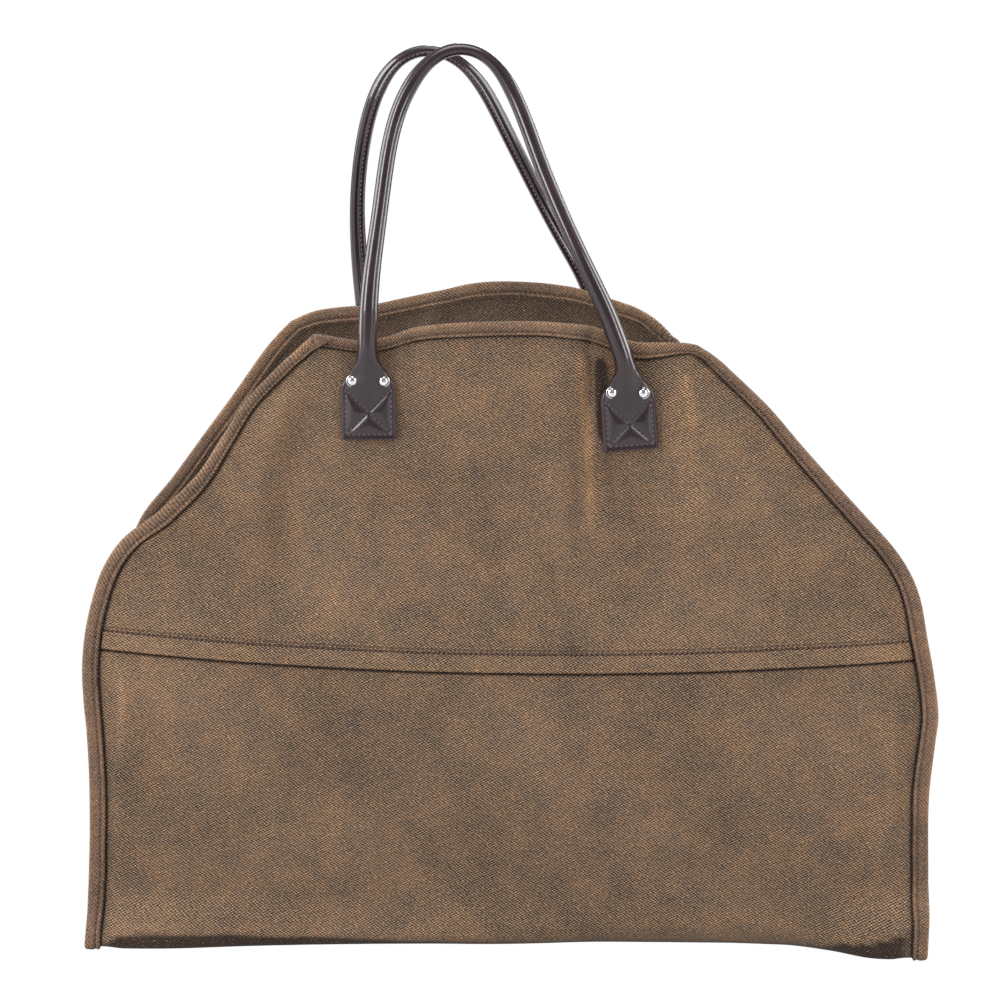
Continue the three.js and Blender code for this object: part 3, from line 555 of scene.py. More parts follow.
    def wall_depth(self, side: Side, x: Number, z: Number) -> Array:
        """Distance of a wall from the middle plane."""
        share = z / self.bag_height
        to_edge = np.minimum(np.abs(x) / self.edge_reach(side, np.sign(x), z), 1) ** 3
        middle, edge = read_table(DEPTHS, "middle", share), read_table(DEPTHS, "edge", share)
        folds = self.folds_at(side, x, z) * (1 - to_edge**2)
        return self.depth_half * mix(middle, edge, to_edge) + folds

    def place(self, side: Side, x: Number, h: Number) -> Array:
        """Points of the cloth's outer face, before its creases.

        Args:
            side: The wall.
            x: Places across.
            h: Heights, or minus the way along the floor.

        Returns:
            The points in millimetres, on a last axis of three.
        """
        x, h = np.broadcast_arrays(np.asarray(x, float), np.asarray(h, float))
        radius = self.radius_at(side, x)
        depth = self.wall_depth(side, x, np.maximum(h, radius)) + self.bulge_at(side, x, h)
        turn = np.clip(1 - h / radius, 0, 1)
        angle = turn * math.pi / 2
        strip = self.border_reach(side, np.sign(x), np.zeros_like(x))
        lift = self.tape_proud * turn * ease(np.abs(x), strip - self.lift_fade, strip)
        y = depth - radius * (1 - np.cos(angle)) + np.minimum(h, 0)
        z = np.where(h > radius, h, radius * (1 - np.sin(angle)))
        return np.stack([x, side.value * y, z + lift], axis=-1)

    def normal(self, side: Side, x: Number, h: Number) -> Array:
        """Outward directions of the cloth at places on a wall."""
        step = 0.5
        across = self.place(side, x + step, h) - self.place(side, x - step, h)
        down = self.place(side, x, h - step) - self.place(side, x, h + step)
        return unit(np.cross(down, across) * -side.value)

    def creases_at(self, side: Side, x: Number, h: Number) -> tuple[Array, Array]:
        """How far the creases move the cloth outwards, and how far they lighten their ridges with wear
        and painted highlight and darken their valleys with painted shade.
        """
        out = np.zeros(np.broadcast(x, h).shape)
        rub = np.zeros_like(out)
        for crease in CREASES[side]:
            away, share = path_distance(crease.path, x, h)
            shape = np.exp(-((away / crease.width) ** 2)) * (1 - np.abs(2 * share - 1) ** 5)
            out = out + crease.height * shape
            rub = rub + crease.rub * shape
        return out, rub

    def waves_at(self, side: Side, x: Number, h: Number) -> Array:
        """How far the cloth's large and small waves move it outwards."""
        seed = self.noise_seeds[side is Side.BACK]
        waves = 1.1 * soft_noise(x, h, 58, seed) + 0.55 * soft_noise(x, h, 27, seed + 1)
        return waves + 0.20 * soft_noise(x + 0.3 * h, h, 11, seed + 2)

    def foot_rub(self, side: Side, x: Number, h: Number, beside: Array) -> Array:
        """Painted light on the crest of the wall's foot and painted shade on the roll under it."""
        rows, across = FEET[side], x / self.bag_half
        bulge, crest = read_table(rows, "bulge", across), read_table(rows, "height", across)
        foot = np.clip(0.15 + bulge / 7, 0, 1) * ease(beside, 0, 9)
        return foot * (0.70 * bump(h, crest + 1.2, 2.2) - 1.25 * ease(crest - h, 0.3, 3.2))

    def relief(self, side: Side, x: Number, h: Number) -> tuple[Array, Array]:
        """The cloth's creases, waves and dents above its outer face, and its wear and painted light and
        shade.
        """
        top = self.top_at(side, x) - self.border - h
        aside = self.border_reach(side, np.sign(x), np.clip(h, 0, None)) - np.abs(x)
        near = ease(np.minimum(top, aside), *self.tape_fade)
        free = near * self.softness(side, x, h)
        on_wall = ease(h, *self.floor_fade)
        beside = self.beside_tape(side, x, h)
        out, rub = self.creases_at(side, x, h)
        waves = self.waves_at(side, x, h)
        dent = 0.9 * bump(beside, 0.5, 1.2) + 0.4 * bump(beside, 2.0, 4.0)
        shadow = 1.5 * bump(beside, 0.2, 0.85) + 0.3 * bump(beside, 1.5, 2.2)
        shadow = shadow - 0.15 * bump(beside, 7.0, 4.0)
        # The colour follows the waves' height a little; the tape's painted shadow and the foot's painted
        # light and shade are added.
        rub = rub * near + 0.12 * waves * free - shadow + self.foot_rub(side, x, h, beside)
        return (out + waves * on_wall) * free - dent * on_wall, rub

    def on_cloth(self, side: Side, x: Number, h: Number, out: Number = 0.0) -> Array:
        """Points on the creased cloth, or some way off it."""
        rise = self.relief(side, x, h)[0] + out
        return self.place(side, x, h) + self.normal(side, x, h) * np.asarray(rise)[..., None]


class Signal:
    """One value of a shader, which adds Math nodes when it is used in a sum."""

    def __init__(self, recipe: "Recipe", socket: bpy.types.NodeSocket) -> None:
        """Wraps an output socket."""
        self.recipe = recipe
        self.socket = socket

    def maths(self, operation: str, *others: Union["Signal", float]) -> "Signal":
        """The value put through one Math node."""
        inputs = dict(enumerate((self, *others)))
        return self.recipe.node("ShaderNodeMath", {"operation": operation}, inputs)

    def __add__(self, other: Union["Signal", float]) -> "Signal":
        """Adds a value."""
        return self.maths("ADD", other)

    def __mul__(self, other: Union["Signal", float]) -> "Signal":
        """Multiplies by a value."""
        return self.maths("MULTIPLY", other)

    def __sub__(self, other: Union["Signal", float]) -> "Signal":
        """Takes a value away."""
        return self.maths("SUBTRACT", other)

    def __rsub__(self, other: float) -> "Signal":
        """Takes this away from a number."""
        return (self * -1.0) + other

    __radd__ = __add__
    __rmul__ = __mul__

    def stepped(self, low: float, high: float) -> "Signal":
        """A smooth step from 0 at low to 1 at high."""
        settings = {"interpolation_type": "SMOOTHSTEP"}
        inputs = {"Value": self, "From Min": low, "From Max": high}
        return self.recipe.node("ShaderNodeMapRange", settings, inputs)


class Recipe:
    """A material's nodes, made one by one."""

    def __init__(self, name: str) -> None:
        """Starts an empty material of that name."""
        self.material = bpy.data.materials.new(name)
        self.material.use_nodes = True
        self.tree = self.material.node_tree
        self.tree.nodes.clear()

    def node(self, kind: str, settings: dict, inputs: dict, output: Union[int, str] = 0) -> Signal:
        """Adds a node.

        Args:
            kind: The node's type.
            settings: Its settings, by name, which are set first.
            inputs: The values or signals of its sockets, by name or number.
            output: Which of its outputs is wanted.

        Returns:
            That output.
        """
        made = self.tree.nodes.new(kind)
        for name, value in settings.items():
            setattr(made, name, value)
        for name, value in inputs.items():
            if isinstance(value, Signal):
                self.tree.links.new(value.socket, made.inputs[name])
            else:
                made.inputs[name].default_value = value
        return Signal(self, made.outputs[output])

    def surface(self, scale: float, turn: float = 0.0, stretch: tuple[float, float] = (1, 1)) -> Signal:
        """The piece's UV map in millimetres times a scale, turned by degrees and then stretched."""
        uv = self.node("ShaderNodeUVMap", {"uv_map": "cloth"}, {})
        sizes = {"Rotation": (0, 0, math.radians(-turn)), "Scale": (1000, 1000, 1000)}
        turned = self.node("ShaderNodeMapping", {}, {"Vector": uv, **sizes})
        return self.node(
            "ShaderNodeVectorMath",
            {"operation": "MULTIPLY"},
            {0: turned, 1: (scale * stretch[0], scale * stretch[1], scale)},
        )

    def noise(self, place: Signal, detail: float = 2.0, roughness: float = 0.5) -> Signal:
        """Soft noise from 0 to 1 in patches of about one unit."""
        inputs = {"Vector": place, "Scale": 1.0, "Detail": detail, "Roughness": roughness}
        return self.node("ShaderNodeTexNoise", {}, inputs)

    def attribute(self, name: str) -> Signal:
        """A number that the piece's points carry."""
        return self.node("ShaderNodeAttribute", {"attribute_name": name}, {}, "Fac")

    def blend(self, share: Union[Signal, float], first: object, second: object) -> Signal:
        """A colour between two colours."""
        colours = [c if isinstance(c, Signal) else (*c, 1.0) for c in (first, second)]
        inputs = {0: share, 6: colours[0], 7: colours[1]}
        return self.node("ShaderNodeMix", {"data_type": "RGBA"}, inputs, 2)

    def shade(self, colour: Signal, share: Signal) -> Signal:
        """A colour made lighter or darker by a share."""
        return self.node("ShaderNodeVectorMath", {"operation": "SCALE"}, {0: colour, 3: share})

    def bump(self, height: Signal, strength: float, distance: float) -> Signal:
        """A bumped normal; the distance is in metres."""
        inputs = {"Height": height, "Strength": strength, "Distance": distance}
        return self.node("ShaderNodeBump", {}, inputs)

    def finish(self, inputs: dict) -> bpy.types.Material:
        """Ends the material with a Principled shader that has these inputs."""
        shader = self.node("ShaderNodeBsdfPrincipled", {}, inputs)
        self.node_output(shader)
        return self.material

    def node_output(self, shader: Signal) -> None:
        """Links the shader to the material's output."""
        made = self.tree.nodes.new("ShaderNodeOutputMaterial")
        self.tree.links.new(shader.socket, made.inputs["Surface"])


def paint(red: float, green: float, blue: float) -> Colour:
    """A colour given in 0 to 255, as light."""
    values = [c / 255 for c in (red, green, blue)]
    return tuple(c / 12.92 if c <= 0.04045 else ((c + 0.055) / 1.055) ** 2.4 for c in values)


@dataclass(frozen=True)
class WaxedTwill:
    """Waxed twill canvas: diagonal ribs, pale flecks, grey and orange patches, worn creases, and painted
    shade and highlights.
    """

    name: str
    grey: Colour = paint(106, 88, 72)
    orange: Colour = paint(121, 93, 68)
    # Lighter colour for worn creases, also used for painted highlights.
    rubbed: Colour = paint(146, 112, 79)
    # Dark colour for painted shade, also darkening the inner face.
    shade_brown: Colour = paint(52, 38, 29)
    fleck: Colour = paint(172, 152, 132)
    rib_turn: float = 27.0
    rib_pitch: float = 1.30
    cross_turn: float = -40.0
    cross_pitch: float = 1.55
    contrast: float = 1.36

    def make(self) -> bpy.types.Material:
        """The material."""
        recipe = Recipe(self.name)
        ribs = recipe.surface(1.0, self.rib_turn)
        across = recipe.node("ShaderNodeSeparateXYZ", {}, {0: ribs}, 1)
        warp = recipe.node("ShaderNodeSeparateXYZ", {}, {0: recipe.surface(1.0, self.cross_turn)}, 1)
        wander = recipe.noise(recipe.surface(0.22), 2.0)
        rib = (across * (2 * math.pi / self.rib_pitch) + wander * 3.0).maths("SINE")
        thread = (warp * (2 * math.pi / self.cross_pitch) + wander * 4.0).maths("SINE")
        grain = recipe.noise(recipe.surface(0.85, self.rib_turn, (0.7, 1.3)), 3.0, 0.7)
        clouds = recipe.noise(recipe.surface(0.011), 2.0)
        streaks = recipe.noise(recipe.surface(0.20, self.rib_turn, (0.45, 1.6)), 3.0, 0.6)
        patches = recipe.noise(recipe.surface(0.040), 4.0, 0.66)
        tone = (patches * 0.55 + streaks * 0.45).stepped(0.32, 0.70)
        colour = recipe.blend(tone, self.grey, self.orange)
        rub = recipe.attribute("rub")
        broken = 0.45 + streaks * 0.9
        # Points above 0 take the lighter colour, as wear and painted highlights; points below 0 take the
        # dark colour, as painted shade.
        colour = recipe.blend((rub * broken).stepped(0.05, 0.95), colour, self.rubbed)
        colour = recipe.blend((rub * -1.0).stepped(0.05, 1.3), colour, self.shade_brown)
        # The inner face is darkened, partly as the unwaxed back of the cloth and partly as painted shade
        # inside the carrier.
        inside = recipe.attribute("inside")
        colour = recipe.blend(inside * 0.66, colour, self.shade_brown)
        flecks = (grain + rib * 0.05).stepped(0.60, 0.78)
        colour = recipe.blend(flecks * 0.42, colour, self.fleck)
        weave = rib * 0.42 + thread * 0.34 + rib * thread * 0.15 + (grain - 0.5) * 2.6
        light = 0.80 + weave * self.contrast + (clouds - 0.5) * 0.85 + (patches - 0.5) * 0.62
        light = light + (streaks - 0.5) * 0.35
        height = rib * 0.5 + thread * 0.3 + grain * 1.2
        return recipe.finish({
            "Base Color": recipe.shade(colour, light),
            "Roughness": 0.80 - recipe.attribute("rub") * 0.10,
            "Specular IOR Level": 0.28,
            "Sheen Weight": 0.08,
            "Sheen Roughness": 0.5,
            "Normal": recipe.bump(height, 0.55, 0.00035),
        })


@dataclass(frozen=True)
class GlossLeather:
    """Dark purplish leather with a polished face and a painted edge."""

    name: str
    face: Colour = paint(31, 20, 24)
    warm: Colour = paint(41, 26, 30)
    edge: Colour = paint(92, 66, 76)
    sewn: Colour = paint(20, 13, 15)

    def make(self) -> bpy.types.Material:
        """The material."""
        recipe = Recipe(self.name)
        place = recipe.node("ShaderNodeTexCoord", {}, {}, "Object")
        fine = recipe.node("ShaderNodeVectorMath", {"operation": "SCALE"}, {0: place, 3: 1400.0})
        wide = recipe.node("ShaderNodeVectorMath", {"operation": "SCALE"}, {0: place, 3: 60.0})
        grain, clouds = recipe.noise(fine, 3.0), recipe.noise(wide, 3.0)
        colour = recipe.blend(clouds.stepped(0.35, 0.70), self.face, self.warm)
        colour = recipe.blend(recipe.attribute("edge").stepped(0.2, 0.9), colour, self.edge)
        sewn = (recipe.attribute("edge") * -1.0).stepped(0.1, 1.0)
        colour = recipe.blend(sewn * 0.8, colour, self.sewn)
        return recipe.finish({
            "Base Color": colour,
            "Roughness": 0.22 + clouds * 0.10 + grain * 0.05 + sewn * 0.4,
            "Specular IOR Level": 0.36,
            "Coat Weight": 0.60,
            "Coat Roughness": 0.07,
            "Normal": recipe.bump(grain, 0.18, 0.0001),
        })


@dataclass(frozen=True)
class Thread:
    """Twisted sewing thread."""

    name: str
    light: Colour
    dark: Colour

    def make(self) -> bpy.types.Material:
        """The material."""
        recipe = Recipe(self.name)
        place = recipe.node("ShaderNodeTexCoord", {}, {}, "Object")
        fine = recipe.node("ShaderNodeVectorMath", {"operation": "SCALE"}, {0: place, 3: 2200.0})
        twist = recipe.noise(fine, 2.0)
        return recipe.finish({
            "Base Color": recipe.blend(twist.stepped(0.35, 0.65), self.dark, self.light),
            "Roughness": 0.65 + twist * 0.15,
            "Normal": recipe.bump(twist, 0.4, 0.0001),
        })


@dataclass(frozen=True)
class PolishedNickel:
    """Bright plated metal with faint handling marks and a painted dark ring of shade at the dome's foot.
    """

    name: str
    face: Colour = (0.90, 0.90, 0.91)
    seat: Colour = (0.03, 0.025, 0.03)

    def make(self) -> bpy.types.Material:
        """The material."""
        recipe = Recipe(self.name)
        place = recipe.node("ShaderNodeTexCoord", {}, {}, "Object")
        fine = recipe.node("ShaderNodeVectorMath", {"operation": "SCALE"}, {0: place, 3: 500.0})
        marks = recipe.noise(fine, 3.0)
        reach = recipe.attribute("reach")
        # A painted dark ring where the dome meets the rim, standing in for the shade and dark reflection
        # in that groove.
        seat = reach.stepped(0.58, 0.72) - reach.stepped(0.80, 0.90)
        metal = recipe.blend(marks.stepped(0.3, 0.7), self.face, (0.78, 0.78, 0.81))
        return recipe.finish({
            "Base Color": recipe.blend(seat * 0.85, metal, self.seat),
            "Metallic": 1.0,
            "Roughness": 0.05 + marks * 0.06,
        })


@dataclass(frozen=True)
class PaleFloor:
    """The plain floor under the carrier."""

    name: str
    face: Colour = (0.50, 0.50, 0.50)
    glow: float = 1.0

    def make(self) -> bpy.types.Material:
        """The material."""
        recipe = Recipe(self.name)
        place = recipe.node("ShaderNodeTexCoord", {}, {}, "Object")
        marks = recipe.noise(place, 2.0)
        ground = recipe.node("ShaderNodeBsdfPrincipled", {}, {
            "Base Color": (*self.face, 1.0),
            "Roughness": 0.85 + marks * 0.1,
        })
        white = recipe.node("ShaderNodeEmission", {}, {
            "Color": (1.0, 1.0, 1.0, 1.0),
            "Strength": self.glow,
        })
        seen = recipe.node("ShaderNodeLightPath", {}, {}, "Is Camera Ray")
        recipe.node_output(recipe.node("ShaderNodeMixShader", {}, {0: seen, 1: ground, 2: white}))
        return recipe.material


@dataclass
class Finishes:
    """All the finishes, made once."""

    canvas: bpy.types.Material = field(default_factory=lambda: WaxedTwill("waxed_canvas").make())
    tape: bpy.types.Material = field(
        default_factory=lambda: WaxedTwill(
            "edge_tape", grey=paint(104, 84, 69), orange=paint(118, 89, 68),
            rib_turn=58.0, rib_pitch=1.2, contrast=1.0,
        ).make()
    )
    leather: bpy.types.Material = field(default_factory=lambda: GlossLeather("handle_leather").make())
    canvas_thread: bpy.types.Material = field(
        default_factory=lambda: Thread("canvas_thread", paint(124, 96, 78), paint(66, 48, 38)).make()
    )
    leather_thread: bpy.types.Material = field(
        default_factory=lambda: Thread("leather_thread", paint(128, 104, 112), paint(74, 56, 62)).make()
    )
    nickel: bpy.types.Material = field(default_factory=lambda: PolishedNickel("rivet_nickel").make())


class Mesher:
    """Makes finished pieces from points in millimetres."""

    @staticmethod
    def piece(
        name: str,
        points: Array,
        faces: Array,
        material: bpy.types.Material,
        uv: Union[Array, None] = None,
        **values: Array,
    ) -> bpy.types.Object:
        """Makes one closed piece that faces outwards.

        Args:
            name: The piece's name.
            points: Its points in millimetres.
            faces: Its faces of four corners, or of three where a corner is named twice.
            material: Its finish.
            uv: The place of each point on the cloth, in millimetres.
            **values: Numbers that its points carry, by name.

        Returns:
            The new object.
        """
        used, numbers = np.unique(faces, return_inverse=True)
        faces, points = numbers.reshape(-1, 4), points[used]
        first, second, third, fourth = (points[faces[:, k]] for k in range(4))
        if np.sum(first * (np.cross(second, third) + np.cross(third, fourth))) < 0:
            faces = faces[:, ::-1]
        kept = [list(dict.fromkeys(face)) for face in faces.tolist()]
        uv = None if uv is None else uv[used]
        values = {key: numbers[used] for key, numbers in values.items()}
        return Mesher.link(name, points, kept, material, uv, values)

    @staticmethod
    def link(
        name: str,
        points: Array,
        faces: list[list[int]],
        material: bpy.types.Material,
        uv: Union[Array, None],
        values: dict[str, Array],
    ) -> bpy.types.Object:
        """Makes a smooth piece from what its points hold, and puts it in the scene."""
        mesh = bpy.data.meshes.new(name)
        mesh.from_pydata((points * MM).tolist(), [], faces)
        mesh.polygons.foreach_set("use_smooth", np.ones(len(mesh.polygons), bool))
        if uv is not None:
            layer = mesh.uv_layers.new(name="cloth")
            layer.data.foreach_set("uv", (uv[np.concatenate(faces)] * MM).ravel())
        for key, numbers in values.items():
            mesh.attributes.new(key, "FLOAT", "POINT").data.foreach_set("value", numbers)
        mesh.materials.append(material)
        made = bpy.data.objects.new(name, mesh)
        bpy.context.scene.collection.objects.link(made)
        return made

    @staticmethod
    def wall(
        name: str,
        face: Array,
        normals: Array,
        wall: float,
        cells: Array,
        material: bpy.types.Material,
        uv: Array,
        rub: Array,
    ) -> bpy.types.Object:
        """Makes cloth of a thickness from the cells of its outer face.

        Args:
            name: The piece's name.
            face: The face's points.
            normals: The outward direction at each.
            wall: The cloth's thickness.
            cells: The face's cells, four point numbers each.
            material: Its finish.
            uv: Each point's place on the cloth.
            rub: Each point's wear and its painted light and shade.

        Returns:
            The new object.
        """
        count = len(face)
        sides = np.concatenate([cells[:, [k, (k + 1) % 4]] for k in range(4)])
        keys, back = sides @ [count, 1], sides @ [1, count]
        rim = sides[~np.isin(keys, back)]
        band = np.stack([rim[:, 1], rim[:, 0], rim[:, 0] + count, rim[:, 1] + count], -1)
        faces = np.concatenate([cells, cells[:, ::-1] + count, band])
        return Mesher.piece(
            name,
            np.concatenate([face, face - normals * wall]),
            faces,
            material,
            uv=np.concatenate([uv, uv]),
            rub=np.concatenate([rub, np.zeros(count)]),
            inside=np.concatenate([np.zeros(count), np.ones(count)]),
        )

    @staticmethod
    def loft(
        name: str,
        rings: Array,
        material: bpy.types.Material,
        closed: bool,
        uv: Union[Array, None] = None,
        **values: Array,
    ) -> bpy.types.Object:
        """Makes a solid from rings of points, joined end to start or closed at both ends."""
        count, around = rings.shape[:2]
        index = np.arange(count * around).reshape(count, around)
        following = np.roll(index, -1, axis=0) if closed else index[1:]
        first = index if closed else index[:-1]
        faces = np.stack(
            [first, following, np.roll(following, -1, axis=1), np.roll(first, -1, axis=1)], -1
        ).reshape(-1, 4)
        points = rings.reshape(-1, 3)
        if closed:
            return Mesher.piece(name, points, faces, material, uv=uv, **values)
        points = np.concatenate([points, np.stack([rings[0].mean(0), rings[-1].mean(0)])])
        start, finish = count * around, count * around + 1
        sides = zip(index[0].tolist(), np.roll(index[0], -1).tolist())
        caps = [[low, after, start] for low, after in sides]
        sides = zip(index[-1].tolist(), np.roll(index[-1], -1).tolist())
        caps += [[after, high, finish] for high, after in sides]
        uv = None if uv is None else np.concatenate([uv, np.stack([uv[0], uv[-1]])])
        values = {key: np.concatenate([numbers, np.zeros(2)]) for key, numbers in values.items()}
        return Mesher.link(name, points, [*faces.tolist(), *caps], material, uv, values)


@dataclass(frozen=True)
class Stitches:
    """Rows of thread stitches, each a short bead that dips at its ends."""

    length: float = 2.5
    pitch: float = 3.2
    width: float = 0.62
    rise: float = 0.42
    probe: float = 0.4
    rings: int = 5
    around: int = 6

    def make(
        self, name: str, rows: Sequence[tuple[Array, Array]], material: bpy.types.Material
    ) -> bpy.types.Object:
        """Sews along rows of points.

        Args:
            name: The piece's name.
            rows: For each row its points in order, and the outward direction at each.
            material: The thread's finish.

        Returns:
            All the stitches as one object.
        """
        points, faces, count = [], [], 0
        shape, cells = self.bead()
        for path, normals in rows:
            places, along, outward = self.spaced(path, normals)
            across = np.cross(along, outward)
            beads = (
                places[:, None]
                + along[:, None] * shape[None, :, 0:1]
                + across[:, None] * shape[None, :, 1:2]
                + outward[:, None] * shape[None, :, 2:3]
            )
            points.append(beads.reshape(-1, 3))
            offsets = count + np.arange(len(places)) * len(shape)
            faces.append((cells[None] + offsets[:, None, None]).reshape(-1, 4))
            count += len(places) * len(shape)
        return Mesher.piece(name, np.concatenate(points), np.concatenate(faces), material)

    def bead(self) -> tuple[Array, Array]:
        """The points and faces of one stitch, along X and up Z."""
        along = np.linspace(-1, 1, self.rings)
        angle = 2 * np.pi * np.arange(self.around) / self.around
        thick = np.sqrt(np.clip(1 - along**2 * 0.92, 0, 1))
        lift = self.rise * (1 - along**2) - 0.25 * self.rise
        rings = np.stack(
            [
                np.repeat(along[:, None] * self.length / 2, self.around, 1),
                thick[:, None] * np.cos(angle) * self.width / 2,
                lift[:, None] + thick[:, None] * np.sin(angle) * self.width * 0.36,
            ],
            -1,
        )
        index = np.arange(self.rings * self.around).reshape(self.rings, self.around)
        side = np.stack(
            [index[:-1], index[1:], np.roll(index[1:], -1, axis=1), np.roll(index[:-1], -1, axis=1)], -1
        ).reshape(-1, 4)
        low, high = index[0], index[-1]
        ends = [[low[5], low[4], low[1], low[0]], [low[4], low[3], low[2], low[1]]]
        ends += [[high[0], high[1], high[4], high[5]], [high[1], high[2], high[3], high[4]]]
        return rings.reshape(-1, 3), np.concatenate([side, np.array(ends)])

    def spaced(self, path: Array, normals: Array) -> tuple[Array, Array, Array]:
        """The middle, direction and outward way of each stitch along a row."""
        run = way_along(path)
        at = np.arange(self.pitch / 2, run[-1], self.pitch)
        along = unit(read_path(at + self.probe, run, path) - read_path(at - self.probe, run, path))
        outward = read_path(at, run, normals)
        outward = unit(outward - along * np.sum(outward * along, axis=1, keepdims=True))
        return read_path(at, run, path), along, outward


def grid_cells(rows: int, columns: int) -> Array:
    """The four corners of each cell of a grid, by number."""
    index = np.arange(rows * columns).reshape(rows, columns)
    return np.stack([index[:-1, :-1], index[1:, :-1], index[1:, 1:], index[:-1, 1:]], -1).reshape(-1, 4)


def cell_normals(points: Array, cells: Array) -> Array:
    """Directions at the points of an open surface, averaged over its cells."""
    first, second, third, fourth = (points[cells[:, k]] for k in range(4))
    faces = np.cross(third - first, fourth - second)
    normals = np.zeros_like(points)
    for corner in range(4):
        np.add.at(normals, cells[:, corner], faces)
    return unit(normals)


@dataclass
class ClothPanel:
    """What the cut pieces of canvas share: rows across the sheet and places along the cloth."""

    form: Form
    canvas: bpy.types.Material
    spacing: float = 2.7
    beside: tuple[float, ...] = (-1.6, -0.8, -0.3, 0.1, 0.5, 0.9, 1.4, 2.0, 2.8)
    reach_passes: int = 12
    reach_step: float = 0.6

    def row_end(self, side: Side, hand: int, heights: Sequence) -> Array:
        """Places across of the columns beside an edge, from the edge inwards, for each row."""
        form = self.form
        reach = np.full(len(heights), form.bag_half)
        for _ in range(self.reach_passes):
            height = np.array([float(at(hand * r)) for at, r in zip(heights, reach)])
            reach = mix(reach, form.edge_reach(side, hand, height), self.reach_step)
        height = np.array([float(at(hand * r)) for at, r in zip(heights, reach)])
        scale = (reach - form.border_reach(side, hand, height)) / form.border
        away = form.face_width(side, hand, height)[:, None] + np.array(self.beside)
        first, last = np.zeros((len(heights), 1)), np.full((len(heights), 1), form.border + 1)
        away = np.concatenate([first, away, last], axis=1)
        return hand * (reach[:, None] - away * scale[:, None])

    def rows_at(self, side: Side, heights: Sequence) -> tuple[Array, Array]:
        """Places across and heights of a grid of the cloth, one row for each function of x."""
        left, right = self.row_end(side, -1, heights), self.row_end(side, 1, heights)
        middle = np.linspace(0, 1, int(self.form.bag_width / self.spacing))[1:-1]
        x = np.concatenate([left, mix(left[:, -1:], right[:, -1:], middle), right[:, ::-1]], axis=1)
        return x, np.stack([np.broadcast_to(at(row), row.shape) for at, row in zip(heights, x)])

    def cloth_places(self, side: Side, x: Array, h: Array) -> Array:
        """Places on the cut cloth, in millimetres across and along it."""
        radius, quarter = self.form.radius_at(side, x), math.pi / 2
        bent = radius - (radius - np.maximum(h, 0)) * quarter + np.minimum(h, 0)
        along = np.where(h > radius, h, bent)
        if side is Side.BACK:
            half_floor = self.form.depth_half - self.form.fold_radius * (2 - quarter)
            along = -2 * half_floor - along
        return np.stack([x, along], -1)


@dataclass
class UpperPanel(ClothPanel):
    """The upper part of a wall, whose hem laps over the base panel along the seam."""

    side: Side = Side.FRONT
    hem_rows: tuple[float, float] = (11.4, 13.6)
    hem_thick: float = 0.9
    hem_step: float = 0.55

    def hem_relief(self, x: Array, above: Array) -> Array:
        """How far the lapped hem stands off the cloth, by the height above the seam."""
        band = self.hem_thick * ease(above, -0.5, 1.0) * (1 - ease(above, 14.2, 15.6))
        valleys = sum(bump(above, row, 0.55) for row in self.hem_rows)
        puckers = 0.25 * soft_noise(x, above * 0.3, 5.0, 31) * bump(above, 10.5, 5.0)
        return band + 0.35 * bump(above, 5.0, 3.6) - 0.60 * valleys + puckers

    def build(self) -> bpy.types.Object:
        """Makes the panel and hides its solid."""
        form, side, name = self.form, self.side, self.side.name.lower()
        lap = form.lap_height + 5
        hem = np.arange(0.08, lap, self.hem_step)
        rise = np.linspace(0, 1, int((form.bag_height - form.seam_height) / self.spacing) + 10)
        heights = [lambda x, up=up: form.seam_at(x) + up for up in hem]
        heights += [
            lambda x, t=t: mix(form.seam_at(x) + lap, form.top_at(side, x) - form.border - 1, t)
            for t in rise
        ]
        heights += [
            lambda x, d=d: form.top_at(side, x) - form.top_face_width(side, x) - d
            for d in self.beside[::-1]
        ]
        heights.append(lambda x: form.top_at(side, x))
        x, h = self.rows_at(side, heights[::-1])
        relief, rub = form.relief(side, x, h)
        above = h - form.seam_at(x)
        free = ease(form.beside_tape(side, x, h), 0.3, 2.5)
        relief = relief + self.hem_relief(x, above) * free
        # Painted shade in the two stitch rows and in a thin line above the hem; the hem band is lighter
        # and its lower edge has a painted highlight.
        rows = sum(bump(above, row, 0.50) * dark for row, dark in zip(self.hem_rows, (3.0, 1.1)))
        band = 0.30 * bump(above, 5.0, 4.5) + 0.35 * bump(above, 1.2, 1.0)
        rub = rub + (band - rows - 0.4 * bump(above, 15.7, 0.7)) * free
        normals = form.normal(side, x, h)
        face = form.place(side, x, h) + normals * relief[..., None]
        cells = grid_cells(*x.shape)
        made = Mesher.wall(
            f"{name}_panel_cloth",
            face.reshape(-1, 3),
            normals.reshape(-1, 3),
            form.canvas_wall,
            cells,
            self.canvas,
            self.cloth_places(side, x, h).reshape(-1, 2),
            rub.ravel(),
        )
        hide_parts(f"{name}_panel")
        return made

    def seam_rows(self) -> list[tuple[Array, Array]]:
        """The paths of the two rows of stitches along the hem, and their outward directions."""
        form, side, rows = self.form, self.side, []
        ends = [float(form.border_reach(side, hand, form.seam_height)) for hand in (-1, 1)]
        x = np.linspace(-ends[0] + 1.5, ends[1] - 1.5, 500)
        for row in self.hem_rows:
            h = form.seam_at(x) + row
            out = self.hem_relief(x, np.full_like(x, row)) + 0.12
            rows.append((form.on_cloth(side, x, h, out), form.normal(side, x, h)))
        return rows

    def cut_area(self) -> float:
        """The flat area that the panel was cut to, in square metres."""
        z = np.linspace(self.form.seam_height, self.form.bag_height * 0.98, 200)
        width = self.form.edge_reach(self.side, -1, z) + self.form.edge_reach(self.side, 1, z)
        hem = self.form.bag_width * self.form.lap_height
        return float(width.mean() * (z[-1] - z[0]) + hem) * MM * MM


